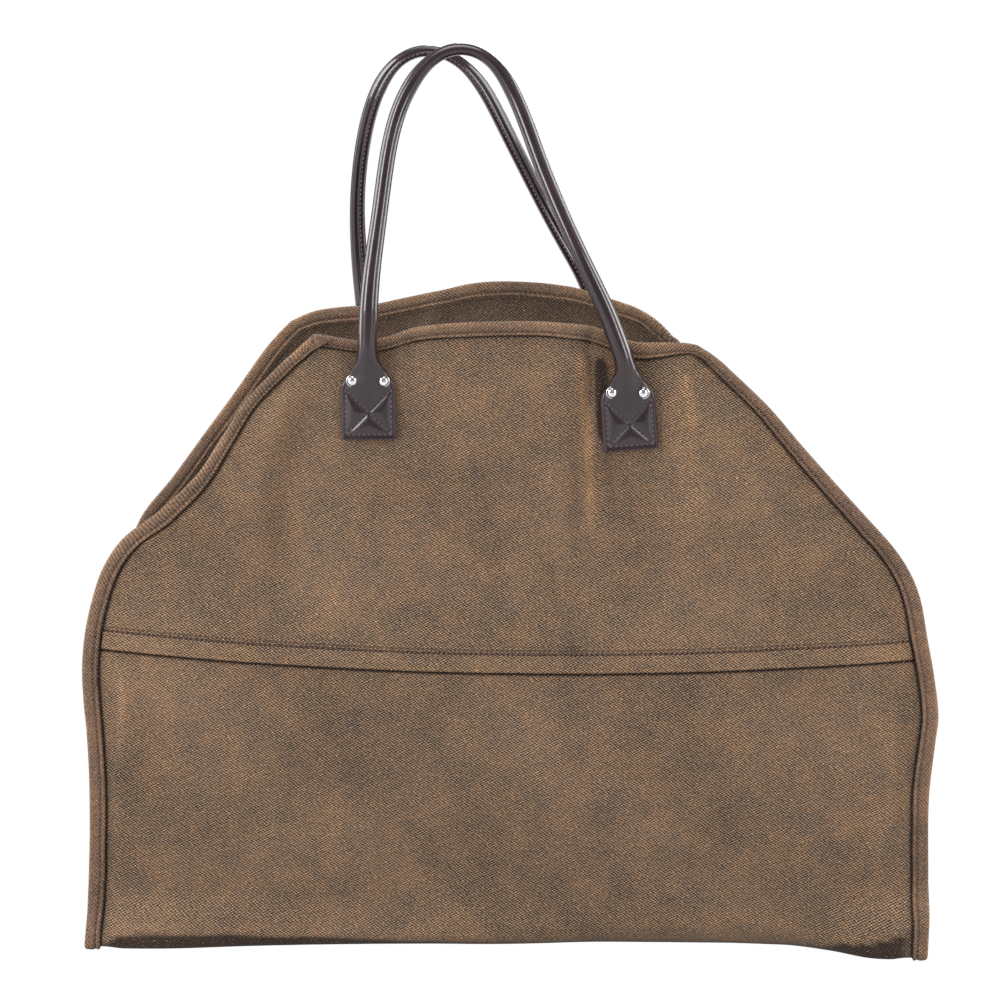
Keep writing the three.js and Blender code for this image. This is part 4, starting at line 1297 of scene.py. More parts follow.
@dataclass
class BasePanel(ClothPanel):
    """The lower part of both walls and the floor, with a flap that runs up behind each hem."""

    spacing: float = 3.4
    tuck_reach: float = 2.6
    floor_step: float = 6.0
    clear: float = 0.35

    def half(self, side: Side) -> tuple[Array, Array, Array, Array, Array]:
        """Face, normals, cloth places, rubbed colour and the flap's mask of one half of the sheet."""
        form = self.form
        flap = np.arange(form.lap_height, 0, -1.6)
        under = np.array([0.02, 0.3, 0.6, 1.0, 1.5, 2.0, 2.6, 3.4, 4.6, 6.0, 8.0])
        wall = np.linspace(0, 1, int((form.seam_height - form.fold_radius) / self.spacing))[1:]
        bend = np.linspace(1, 0, 9)[1:]
        floor = np.linspace(0, 1, int(form.depth_half / self.floor_step))[1:]
        heights = [lambda x, up=up: form.seam_at(x) + up for up in flap]
        heights += [lambda x, down=down: form.seam_at(x) - down for down in under]
        heights += [
            lambda x, t=t: mix(form.seam_at(x) - under[-1], form.radius_at(side, x), t)
            for t in wall
        ]
        heights += [lambda x, t=t: form.radius_at(side, x) * t for t in bend]
        x, h = self.rows_at(side, heights)
        floor_x = np.repeat(x[-1:], len(floor), axis=0)
        last = form.place(side, x[-1], h[-1])
        floor_h = -floor[:, None] * np.abs(last[:, 1])[None]
        x, h = np.concatenate([x, floor_x]), np.concatenate([h, floor_h])
        relief, rub = form.relief(side, x, h)
        below = form.seam_at(x) - h
        aside = form.beside_tape(side, x, h)
        tuck = (form.canvas_wall + form.gap) * (1 - ease(below, 0.1, self.tuck_reach))
        tuck = tuck * ease(aside, 0, 0.4)
        normals = form.normal(side, x, h)
        face = form.place(side, x, h) + normals * (relief - tuck)[..., None]
        # Painted shade just under the hem, painted light on the foot's crest near the side edges, and
        # the whole base panel painted a little darker as shade.
        rub = rub - 1.3 * bump(below, 0.5, 0.9) + 0.15 * bump(h, 10.0, 5.0) * ease(aside, -4, 6) - 0.26
        cloth = (below > -0.1) | (aside > self.clear)
        return face, normals, self.cloth_places(side, x, h), rub, cloth

    def build(self) -> bpy.types.Object:
        """Makes the base panel and hides its solid."""
        front, back = self.half(Side.FRONT), self.half(Side.BACK)
        joined = [np.concatenate([f, b[:-1][::-1]]) for f, b in zip(front, back)]
        face, normals, places, rub, cloth = joined
        cells = grid_cells(*rub.shape)
        cells = cells[cloth.ravel()[cells].all(axis=1)]
        made = Mesher.wall(
            "base_panel_cloth",
            face.reshape(-1, 3),
            normals.reshape(-1, 3),
            self.form.canvas_wall,
            cells,
            self.canvas,
            places.reshape(-1, 2),
            rub.ravel(),
        )
        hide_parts("base_panel")
        return made


@dataclass
class Gusset(ClothPanel):
    """A low end wall, folded inwards in the middle, with its edge caught under the tape."""

    hand: int = -1
    wall_steps: int = 52
    bend_steps: int = 8
    floor_steps: int = 18
    across_steps: int = 26
    inside: float = 1.0
    ridge_half: float = 2.0
    ridge_foot: float = 14.0
    bend_share: float = 0.571
    floor_share: float = 0.143

    def inset(self, y: Array, z: Array) -> Array:
        """How far the gusset is folded in."""
        form = self.form
        span = form.depth_half * read_table(DEPTHS, "edge", z / form.bag_height)
        soft = np.sqrt((np.abs(y) / span) ** 2 + 0.0012) - math.sqrt(0.0012)
        share = np.clip(z / form.gusset_height, 0, 1) ** 1.2
        wave = 1.4 * soft_noise(y, z, 34, 50 + self.hand) * np.clip(1 - np.abs(y) / span, 0, 1)
        return form.gusset_fold * np.clip(1 - soft, 0, 1) * share + wave * share

    def wall_at(self, y: Array, z: Array) -> Array:
        """Place across of the gusset's cloth."""
        form = self.form
        share = np.clip(0.5 + y / form.bag_depth, 0, 1)
        reaches = [form.edge_reach(side, self.hand, z) for side in (Side.FRONT, Side.BACK)]
        reach = mix(reaches[0], reaches[1], share)
        return self.hand * (reach - form.border - form.gusset_turn / 2 - self.inset(y, z))

    def rings(self, side: Side) -> Array:
        """The rings of one half, from the top down to the middle of the floor."""
        form = self.form
        foot = self.hand * float(form.edge_reach(side, self.hand, 0))
        radius = float(form.radius_at(side, foot))
        flat = abs(float(form.place(side, foot, 0)[1]))
        wall = np.linspace(form.gusset_height, radius, self.wall_steps)
        bend = np.linspace(radius, 0, self.bend_steps)[1:]
        floor = -np.linspace(0, flat, self.floor_steps)[1:]
        h = np.concatenate([wall, bend, floor])
        shares = np.concatenate([
            np.linspace(1, self.bend_share, self.wall_steps),
            np.linspace(self.bend_share, self.floor_share, self.bend_steps)[1:],
            np.linspace(self.floor_share, 0, self.floor_steps)[1:],
        ])
        x = self.hand * form.edge_reach(side, self.hand, h)
        strip = self.hand * form.border_reach(side, self.hand, h)
        edge, inner = form.place(side, x, h), form.place(side, strip, h)
        depth = form.canvas_wall + form.gap + form.gusset_wall / 2
        normal = form.normal(side, strip, h)
        turn = form.gusset_turn / form.border / 2
        strips = (
            (self.inside / form.border, depth), (0.5, depth),
            (1.0, depth), (1 + turn, depth + form.gusset_turn),
        )
        rings = [mix(edge, inner, share) - normal * down for share, down in strips]
        start = rings[-1]
        goal_y = np.full(len(h), side.value * self.ridge_half)
        goal_y[-1] = 0.0
        goal_z = mix(self.ridge_foot, start[:, 2], shares)
        for cell in range(1, self.across_steps + 1):
            share = (cell / self.across_steps) ** 0.8
            y, z = mix(start[:, 1], goal_y, share), mix(start[:, 2], goal_z, share)
            rings.append(np.stack([self.wall_at(y, z), y, z], -1))
        return np.stack(rings, axis=1)

    def build(self) -> bpy.types.Object:
        """Makes the gusset and hides its solid."""
        front, back = self.rings(Side.FRONT), self.rings(Side.BACK)
        rings = np.concatenate([front, back[:-1][::-1]])
        count, width = rings.shape[:2]
        near = np.arange(len(front) - 1) * width + width - 1
        far = (count - 1 - np.arange(len(front) - 1)) * width + width - 1
        ridge = np.stack([near, near + width, far - width, far], -1)
        cells = np.concatenate([grid_cells(count, width), ridge])
        points = rings.reshape(-1, 3)
        normals = cell_normals(points, cells)
        name = "left" if self.hand < 0 else "right"
        half = normals * self.form.gusset_wall / 2
        middle = np.abs(points[:, 1])
        made = Mesher.wall(
            f"{name}_gusset_cloth",
            points + half,
            normals,
            self.form.gusset_wall,
            cells,
            self.canvas,
            points[:, [1, 2]],
            0.9 * bump(middle, 0, 5.0) + 0.2 * soft_noise(points[:, 1], points[:, 2], 22, 60),
        )
        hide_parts(f"{name}_gusset")
        return made


class Stations(NamedTuple):
    """Places round the sheet's edge, with the inner edge of the tape's strip beside them."""

    edge: Array
    inner: Array
    edge_normal: Array
    inner_normal: Array
    caught: Array
    width: Array


@dataclass
class EdgeTape:
    """The tape folded over the cloth's edge, all the way round."""

    form: Form
    tape: bpy.types.Material
    thread: bpy.types.Material
    step: float = 2.4
    stitch_line: float = 5.3
    edge_round: float = 0.9
    face_steps: tuple[float, ...] = (
        8.0, 7.92, 7.7, 7.35, 6.9, 6.4, 6.0, 5.65, 5.3, 4.95, 4.6, 4.1, 3.4, 2.6, 1.8, 1.0,
    )
    joint_places: tuple[float, float] = (-205.0, 318.0)
    joint_length: float = 9.0
    joint_rise: float = 0.9
    end_shape: tuple[tuple[float, float], ...] = (
        (1.2, 1.4), (10.4, 0.0), (10.2, -1.1), (4.7, -5.0), (-0.2, -8.0), (-4.6, -4.2),
    )
    end_thick: float = 1.5
    end_stand: float = 0.7
    end_sink: float = 1.9
    end_sink_way: tuple[float, float] = (0.744, 0.668)
    end_shade_way: tuple[float, float] = (0.62, -0.78)
    end_round: float = 0.70
    corner_passes: int = 14
    width_passes: int = 12

    def corner(self, side: Side, hand: int) -> tuple[float, float, float]:
        """The top edge's end, and the inner corner of the tape's mitre: reach, place across, height."""
        form = self.form
        reach = strip = form.bag_half
        for _ in range(self.corner_passes):
            top = form.top_at(side, hand * reach)
            reach = mix(reach, float(form.edge_reach(side, hand, top)), 0.6)
            height = float(form.top_at(side, hand * strip)) - form.border
            strip = mix(strip, float(form.border_reach(side, hand, height)), 0.6)
        return reach, hand * strip, float(form.top_at(side, hand * strip)) - form.border

    def top_run(self, side: Side) -> tuple[Array, Array, Array, Array]:
        """Edge and inner places of the top edge, from left to right."""
        form = self.form
        (left, left_in, _), (right, right_in, _) = self.corner(side, -1), self.corner(side, 1)
        x = np.linspace(-left, right, int((left + right) / self.step))
        inner = np.clip(x, left_in, right_in)
        return x, form.top_at(side, x), inner, form.top_at(side, inner) - form.border

    def side_run(self, side: Side, hand: int) -> tuple[Array, Array, Array, Array]:
        """Edge and inner places of a side edge, from the top to the middle of the floor."""
        form = self.form
        reach, corner_x, corner_h = self.corner(side, hand)
        top = float(form.top_at(side, hand * reach))
        foot = hand * float(form.edge_reach(side, hand, 0))
        radius, flat = float(form.radius_at(side, foot)), abs(float(form.place(side, foot, 0)[1]))
        h = np.concatenate([
            np.linspace(top, radius, int(top * 1.25 / self.step))[1:],
            np.linspace(radius, 0, 10)[1:],
            -np.linspace(0, flat, int(flat / self.step))[1:],
        ])
        strip = hand * form.border_reach(side, hand, np.minimum(h, corner_h))
        inner = np.where(h > corner_h, corner_x, strip)
        return hand * form.edge_reach(side, hand, h), h, inner, np.minimum(h, corner_h)

    def stations(self) -> Stations:
        """All stations, once round."""
        form, runs = self.form, []
        for side in (Side.FRONT, Side.BACK):
            top, right, left = self.top_run(side), self.side_run(side, 1), self.side_run(side, -1)
            if side is Side.FRONT:
                runs += [(side, top), (side, right)]
                last = (side, [part[:-1][::-1] for part in left])
            else:
                runs += [(side, [part[:-1][::-1] for part in right])]
                runs += [(side, [part[::-1] for part in top]), (side, left)]
        runs.append(last)
        parts = []
        for side, (x, h, inner_x, inner_h) in runs:
            edge, inner = form.place(side, x, h), form.place(side, inner_x, inner_h)
            wobble = 0.35 * soft_noise(x + 400 * side.value, h, 23, 41)
            edge_normal, inner_normal = form.normal(side, x, h), form.normal(side, inner_x, inner_h)
            on_wall = ease(h, 0, 30)[:, None]
            edge = edge + edge_normal * (wobble[:, None] * on_wall)
            inner = inner + inner_normal * (wobble[:, None] * on_wall)
            caught = 1 - ease(h, form.gusset_height - 2, form.gusset_height + 8)
            on_top = np.abs(h - form.top_at(side, x)) < 0.5
            width = form.face_width(side, np.sign(x), h)
            width = np.where(on_top, form.top_face_width(side, x), width)
            parts.append((edge, inner, edge_normal, inner_normal, caught, width))
        joined = [np.concatenate(part) for part in zip(*parts)]
        for _ in range(self.width_passes):
            joined[-1] = (np.roll(joined[-1], 1) + joined[-1] + np.roll(joined[-1], -1)) / 3
        return Stations(*joined)

    def face_at(self, along: Array) -> Array:
        """Height of the tape's face off the cloth, by the distance from the cloth's edge."""
        form = self.form
        from_lip = np.clip((along - form.tape_face + self.edge_round) / self.edge_round, 0, 1)
        lip = np.sqrt(1 - from_lip**2)
        puff = 0.40 * bump(along, 2.6, 1.9) + 0.42 * bump(along, 6.9, 0.8)
        valley = 0.62 * bump(along, self.stitch_line, 0.65)
        return form.gap + (form.tape_wall + puff - valley - 0.1) * lip

    def section(self, at: Stations) -> tuple[Array, Array]:
        """Distance from the edge and height off the cloth of each point of the tape's section."""
        form, rows = self.form, len(at.caught)
        steps = np.array(self.face_steps)
        behind = form.canvas_wall + form.gap + at.caught[:, None] * (form.gusset_wall + form.gap)
        face = np.broadcast_to(self.face_at(steps), (rows, len(steps)))
        angle = np.linspace(0, math.pi, 9)
        high = self.face_at(np.array([0.0]))[0]
        middle, half = (high - behind - form.tape_wall) / 2, (high + behind + form.tape_wall) / 2
        arc_along = np.broadcast_to(-1.6 * np.sin(angle), (rows, len(angle)))
        arc_out = middle + half * np.cos(angle)
        back = -behind + form.gap - face[:, ::-1]
        width = at.width[:, None]
        lip, bottom, face_gap = width - 0.1, 0 * width - form.gap, form.gap + 0 * behind
        slot = np.concatenate([lip, bottom, bottom, lip], axis=1)
        slot_out = np.concatenate([-behind, -behind, face_gap, face_gap], axis=1)
        along = steps * width / form.tape_face
        return (
            np.concatenate([along, arc_along, along[:, ::-1], slot], axis=1),
            np.concatenate([face, arc_out, back, slot_out], axis=1),
        )

    def placed(self, at: Stations, along: Array, out: Array) -> Array:
        """Points of the tape from distances and heights at each station."""
        share = (along / self.form.border)[..., None]
        normal = unit(mix(at.edge_normal[:, None], at.inner_normal[:, None], np.clip(share, 0, 1)))
        return mix(at.edge[:, None], at.inner[:, None], share) + normal * out[..., None]

    def joint(self, at: Stations) -> Array:
        """How far the folded-over joint of the tape stands out at each station."""
        away = np.hypot(at.edge[:, 0] - self.joint_places[0], at.edge[:, 2] - self.joint_places[1])
        away = away + 1000 * (at.edge[:, 1] > 0)
        return self.joint_rise * (1 - ease(away, self.joint_length * 0.8, self.joint_length))

    def build(self) -> bpy.types.Object:
        """Makes the tape and hides its solid."""
        at, form = self.stations(), self.form
        along, out = self.section(at)
        joint = self.joint(at)[:, None]
        run = way_along(at.edge)
        ripple = 0.10 * np.sin(2 * np.pi * run / 6.4)[:, None] * bump(along, self.stitch_line, 3.0)
        drift = 0.30 * soft_noise(run, 0 * run, 17, 43)[:, None] * ease(along, 3, 8)
        front = np.sign(out)
        out = out + front * (joint + ripple * (np.abs(out) > 1))
        rings = self.placed(at, along + drift + joint * 0.5 * ease(along, 2, 8), out)
        uv = np.stack([np.broadcast_to(run[:, None], along.shape), along + 30 * (out < 0)], -1)
        # Lighter on the folded outer edge and the joint; painted shade in the stitch valley, a painted
        # highlight on the inner lip and a painted shadow line at the inner edge.
        share = along * form.tape_face / at.width[:, None]
        rub = 0.35 * bump(share, -0.6, 1.6) - 1.0 * bump(share, self.stitch_line, 0.6) + 0.5 * joint
        rub = rub + 0.30 * bump(share, 6.9, 0.7) - 0.7 * bump(share, 8.1, 0.25)
        rub = rub + 0.25 * soft_noise(run, 0 * run, 40, 44)[:, None]
        uv, rub = uv.reshape(-1, 2), rub.ravel()
        made = Mesher.loft("edge_tape", rings, self.tape, True, uv=uv, rub=rub, inside=0 * rub)
        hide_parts("edge_binding")
        return made

    def end(self) -> bpy.types.Object:
        """Makes the tape's cut end, which laps over the front's left corner."""
        form, side = self.form, Side.FRONT
        reach = self.corner(side, -1)[0]
        corners = np.array(self.end_shape)
        outline = np.concatenate([
            mix(a, b, np.linspace(0, 1, 6, endpoint=False)[:, None])
            for a, b in zip(corners, np.roll(corners, -1, axis=0))
        ])
        for _ in range(2):
            outline = (np.roll(outline, 1, axis=0) + outline * 2 + np.roll(outline, -1, axis=0)) / 4
        middle = outline.mean(axis=0)
        start = np.array([-reach, float(form.top_at(side, -reach))])
        low = self.face_at(np.array([3.0]))[0] + self.end_stand
        sunk = self.end_sink * (1 - ease(outline @ np.array(self.end_sink_way), -4.6, 1.0))
        # Painted shade on the end's lower right side, where it stands over the cloth, and painted light
        # on its upper left.
        under = np.clip(unit(outline - middle) @ np.array(self.end_shade_way), 0, 1)
        rings, uv, rub = [], [], []
        for row in TAPE_END:
            places = start + outline + unit(middle - outline) * (row.inset * self.end_round)
            ring = form.place(side, places[:, 0], places[:, 1])
            ring[:, 1] += side.value * (low + row.rise * self.end_thick - sunk)
            rings.append(ring)
            uv.append(places)
            rub.append(mix(row.high, row.low, under))
        uv, rub = np.concatenate(uv), np.concatenate(rub)
        made = Mesher.loft("edge_tape_end", np.stack(rings), self.tape, False, uv=uv, rub=rub)
        bpy.ops.object.select_all(action="DESELECT")
        made.select_set(True)
        bpy.context.view_layer.objects.active = made
        bpy.ops.object.mode_set(mode="EDIT")
        bpy.ops.mesh.select_all(action="SELECT")
        bpy.ops.mesh.normals_make_consistent(inside=False)
        bpy.ops.object.mode_set(mode="OBJECT")
        return made

    def stitch(self) -> bpy.types.Object:
        """Sews the tape down, seen on both faces."""
        at = self.stations()
        height = self.face_at(np.array([self.stitch_line]))[0] + 0.10
        line = (self.stitch_line * at.width / self.form.tape_face)[:, None]
        out = height + self.joint(at)[:, None]
        behind = self.form.canvas_wall + at.caught * (self.form.gusset_wall + self.form.gap)
        back = -behind[:, None] - height
        normal = unit(mix(at.edge_normal, at.inner_normal, line / self.form.border))
        rows = [
            (self.placed(at, line, out)[:, 0], normal),
            (self.placed(at, line, back)[:, 0], -normal),
        ]
        return Stitches().make("edge_tape_stitches", rows, self.thread)


class HandleStations(NamedTuple):
    """Stations along a handle: where each is, and the form of its section."""

    centre: Array
    half: Array
    round: Array
    swell: Array
    along: Array
    thick: Array


@dataclass
class Handle:
    """A rolled leather handle: two quilted tabs and a round loop with a sewn seam on its inner side."""

    form: Form
    side: Side
    leather: bpy.types.Material
    thread: bpy.types.Material
    around: int = 84
    tab_steps: int = 84
    loop_step: float = 2.2
    box_inset: float = 2.9
    quilt_rise: float = 1.45
    pillow_reach: float = 6.0
    box_top: float = -5.0
    seam_angle: float = 1.5 * math.pi
    seam_groove: float = 0.55
    seam_aside: float = 0.40
    loop_passes: int = 60
    ease_span: int = 12
    ease_passes: int = 60

    def tab(self, hand: int) -> HandleStations:
        """Stations of one tab, from its foot up to the round neck."""
        form, side = self.form, self.side
        middle, height = form.tab_middle(side, hand)
        turn = math.radians(TAB_TURNS[side][hand])
        rise = np.linspace(0, 1, self.tab_steps)
        reach = form.tab_length + form.neck_length
        along = rise * reach - form.tab_length
        x, z = middle + along * math.sin(turn), height + along * math.cos(turn)
        half = mix(form.tube_diameter / 2, form.tab_width / 2, read_table(TAB_ROWS, "width", rise))
        stand = form.gap + read_table(TAB_ROWS, "stand", rise) * (form.tape_proud + form.gap)
        rounded = np.clip(read_table(TAB_ROWS, "round", rise), 0, 1)
        back = mix(form.tab_wall / 2, form.tube_diameter / 2, rounded)
        places = x + half * np.linspace(-1, 1, 7)[:, None]
        heights = np.minimum(z, form.top_at(side, places) - 1)
        depth = form.wall_depth(side, places, heights).max(axis=0) + stand + back
        centre = np.stack([x, side.value * depth, z], -1)
        swell = read_table(TAB_ROWS, "swell", rise)
        return HandleStations(centre, half, rounded, swell, along, np.ones_like(along))

    def loop(self, start: Array, finish: Array) -> Array:
        """Points along the loop between the two necks, evenly spaced."""
        form, side = self.form, self.side
        middle = HANDLE_MIDDLES[side] * form.mouth_width
        knots = [start]
        for row in LOOPS[side]:
            neck = start if row.across < 0 else finish
            lean = form.handle_lean * float(ease(row.up, form.lean_start, 1))
            x, z = middle + row.across * form.tab_spacing / 2, start[2] + row.up * form.handle_rise
            knots.append(np.array([x, neck[1] - side.value * lean, z]))
        knots.append(finish)
        return self.relaxed(self.curve(np.array(knots)))

    @staticmethod
    def curve(knots: Array) -> Array:
        """A centripetal curve through knots."""
        padded = np.concatenate([[2 * knots[0] - knots[1]], knots, [2 * knots[-1] - knots[-2]]])
        pieces = []
        for p0, p1, p2, p3 in zip(padded, padded[1:], padded[2:], padded[3:]):
            t0, t1, t2 = (np.sqrt(np.linalg.norm(b - a)) for a, b in ((p0, p1), (p1, p2), (p2, p3)))
            first = ((p1 - p0) / t0 - (p2 - p0) / (t0 + t1) + (p2 - p1) / t1) * t1
            second = ((p2 - p1) / t1 - (p3 - p1) / (t1 + t2) + (p3 - p2) / t2) * t1
            t = np.linspace(0, 1, 24, endpoint=False)[:, None]
            hermite = (2 * t**3 - 3 * t**2 + 1) * p1 + (t**3 - 2 * t**2 + t) * first
            pieces.append(hermite + (3 * t**2 - 2 * t**3) * p2 + (t**3 - t**2) * second)
        return np.concatenate([*pieces, [knots[-1]]])

    def relaxed(self, points: Array) -> Array:
        """Points evenly spaced along a curve whose small kinks are eased out."""
        run = way_along(points)
        even = read_path(np.linspace(0, run[-1], int(run[-1] / self.loop_step)), run, points)
        for _ in range(self.loop_passes):
            even[2:-2] = mix(even[2:-2], (even[1:-3] + even[3:-1]) / 2, 0.5)
        return even

    def stations(self) -> HandleStations:
        """All stations, from the left tab's foot over the loop to the right tab's foot."""
        left, right = self.tab(-1), self.tab(1)
        loop = self.loop(left.centre[-1], right.centre[-1])[1:-1]
        count, tube = len(loop), self.form.tube_diameter / 2
        way = np.linspace(0, 1, count)
        near_end = np.minimum(way, 1 - way)
        up = (loop[:, 2] - loop[0, 2]) / (loop[:, 2].max() - loop[0, 2])
        half = tube * (1 - 0.17 * ease(near_end, 0, 0.22) - 0.18 * ease(up, 0.86, 1.0))
        thick = 1 - 0.15 * ease(near_end, 0, 0.22)
        middle = HandleStations(loop, half, np.ones(count), np.zeros(count), np.full(count, 99.0), thick)
        parts = [left, middle, HandleStations(*[part[::-1] for part in right])]
        joined = HandleStations(*[np.concatenate(part) for part in zip(*parts)])
        for junction in (len(left.along), len(left.along) + count):
            near = slice(junction - self.ease_span, junction + self.ease_span)
            for _ in range(self.ease_passes):
                path = joined.centre[near]
                path[1:-1] = mix(path[1:-1], (path[:-2] + path[2:]) / 2, 0.5)
        return joined

    def axes(self, at: HandleStations) -> tuple[Array, Array]:
        """The ways across and out of each section."""
        along = np.gradient(at.centre, axis=0)
        along[:, 1] *= at.round
        along = unit(along)
        outward = np.array([0.0, self.side.value, 0.0])
        out = unit(outward - along * (along @ outward)[:, None])
        return np.cross(along, out), out

    def quilt(self, across: Array, along: Array) -> tuple[Array, Array]:
        """How far the tab's sewn face swells, and how near each place is to a row of stitches."""
        form = self.form
        side = form.tab_width / 2 - self.box_inset
        foot, top = self.box_inset - form.tab_length, self.box_top
        rows = [((-side, foot), (side, foot)), ((-side, foot), (-side, 0)), ((side, foot), (side, 0))]
        rows += [((-side, foot), (side, top)), ((side, foot), (-side, top))]
        distance = np.min([path_distance(row, across, along)[0] for row in rows], axis=0)
        within = ease(side - np.abs(across), -0.6, 0.6) * ease(along - foot, -0.6, 0.6)
        within = within * (1 - ease(along, -3, 8))
        pillow = 1 - (1 - np.minimum(distance, self.pillow_reach) / self.pillow_reach) ** 2
        swell = self.quilt_rise * pillow * mix(0.25, 1.0, within)
        return swell - 0.30 * bump(distance, 0, 0.45), bump(distance, 0, 0.62) * (along < -3.0)

    @staticmethod
    def drawn_out(angle: Number) -> Number:
        """How far the loop's inner side is drawn out to its seam, as a share of its radius."""
        return np.clip(-np.sin(angle) - 0.62, 0, None) * 0.55

    def section(self, at: HandleStations) -> tuple[Array, Array, Array]:
        """Across, out and painted edge of each point of the sections."""
        form = self.form
        angle = 2 * np.pi * np.arange(self.around) / self.around
        turn = angle / np.pi
        level = np.where(turn <= 1, 1 - 2 * turn, 2 * turn - 3)
        face = np.where(turn <= 1, 1.0, -1.0)
        rim = np.sqrt(np.clip(1 - np.abs(level) ** 22, 0, 1))
        across = level * at.half[:, None]
        swell, sewn = self.quilt(across, np.broadcast_to(at.along[:, None], across.shape))
        crown = at.swell[:, None] * form.tab_wall * bump(across, 0, 0.45 * at.half[:, None])
        flat = face * rim * form.tab_wall / 2 + np.where(face > 0, rim**4 * (swell + crown), 0)
        radius, seam = form.tube_diameter / 2, self.seam_angle
        groove = self.seam_groove * bump(angle, seam, 0.16)
        groove = groove - 0.22 * bump(np.abs(angle - seam), 0.36, 0.16)
        tube = (radius - groove) * np.sin(angle) + self.drawn_out(angle) * radius
        rounded = at.round[:, None]
        edge = np.clip(1 - rounded * 2, 0, 1) * bump(np.abs(level), 1.0, 0.035) * np.ones_like(across)
        tube = tube * at.thick[:, None]
        edge = edge - sewn * (face > 0) * (rounded < 0.01)
        return mix(across, at.half[:, None] * np.cos(angle), rounded), mix(flat, tube, rounded), edge

    def build(self) -> bpy.types.Object:
        """Makes the handle and hides its solid."""
        at = self.stations()
        across_way, out_way = self.axes(at)
        across, out, edge = self.section(at)
        moved = across_way[:, None] * across[..., None] + out_way[:, None] * out[..., None]
        rings = at.centre[:, None] + moved
        name = self.side.name.lower()
        made = Mesher.loft(f"{name}_handle_leather", rings, self.leather, False, edge=edge.ravel())
        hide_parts(f"{name}_handle")
        return made

    def stitch(self) -> bpy.types.Object:
        """Sews the tabs' box and cross and the loop's seam."""
        form, rows = self.form, []
        at = self.stations()
        across_way, out_way = self.axes(at)
        side = form.tab_width / 2 - self.box_inset
        foot, top = self.box_inset - form.tab_length, self.box_top
        paths = (
            ((-side, -4.0), (-side, foot), (side, foot), (side, -4.0)),
            ((-side, foot), (side, top)), ((side, foot), (-side, top)),
        )
        half = self.tab_steps
        for part in (slice(0, half), slice(len(at.along) - 1, len(at.along) - 1 - half, -1)):
            centre, along, ways = at.centre[part], at.along[part], (across_way[part], out_way[part])
            flip = 1.0 if part.step is None else -1.0
            for path in paths:
                for start, finish in zip(path, path[1:]):
                    share = np.linspace(0, 1, 60)
                    aside = mix(start[0], finish[0], share) * flip
                    up = mix(start[1], finish[1], share)
                    out = form.tab_wall / 2 + self.quilt(aside, up)[0] + 0.05
                    middle, across = read_path(up, along, centre), read_path(up, along, ways[0])
                    outward = unit(read_path(up, along, ways[1]))
                    points = middle + across * aside[:, None] + outward * out[:, None]
                    rows.append((points, outward))
        loop = slice(half, len(at.along) - half)
        angle, radius = self.seam_angle - self.seam_aside, form.tube_diameter / 2
        out = (radius + 0.2) * math.sin(angle) + self.drawn_out(angle) * radius
        way = across_way[loop] * math.cos(angle) + out_way[loop] * math.sin(angle)
        middle = at.centre[loop] + across_way[loop] * (at.half[loop] * math.cos(angle))[:, None]
        middle = middle + out_way[loop] * (at.thick[loop] * out)[:, None]
        rows.append((middle, unit(way)))
        name = self.side.name.lower()
        sewing = Stitches(length=2.3, pitch=3.1, width=0.62, rise=0.30)
        return sewing.make(f"{name}_handle_stitches", rows, self.thread)


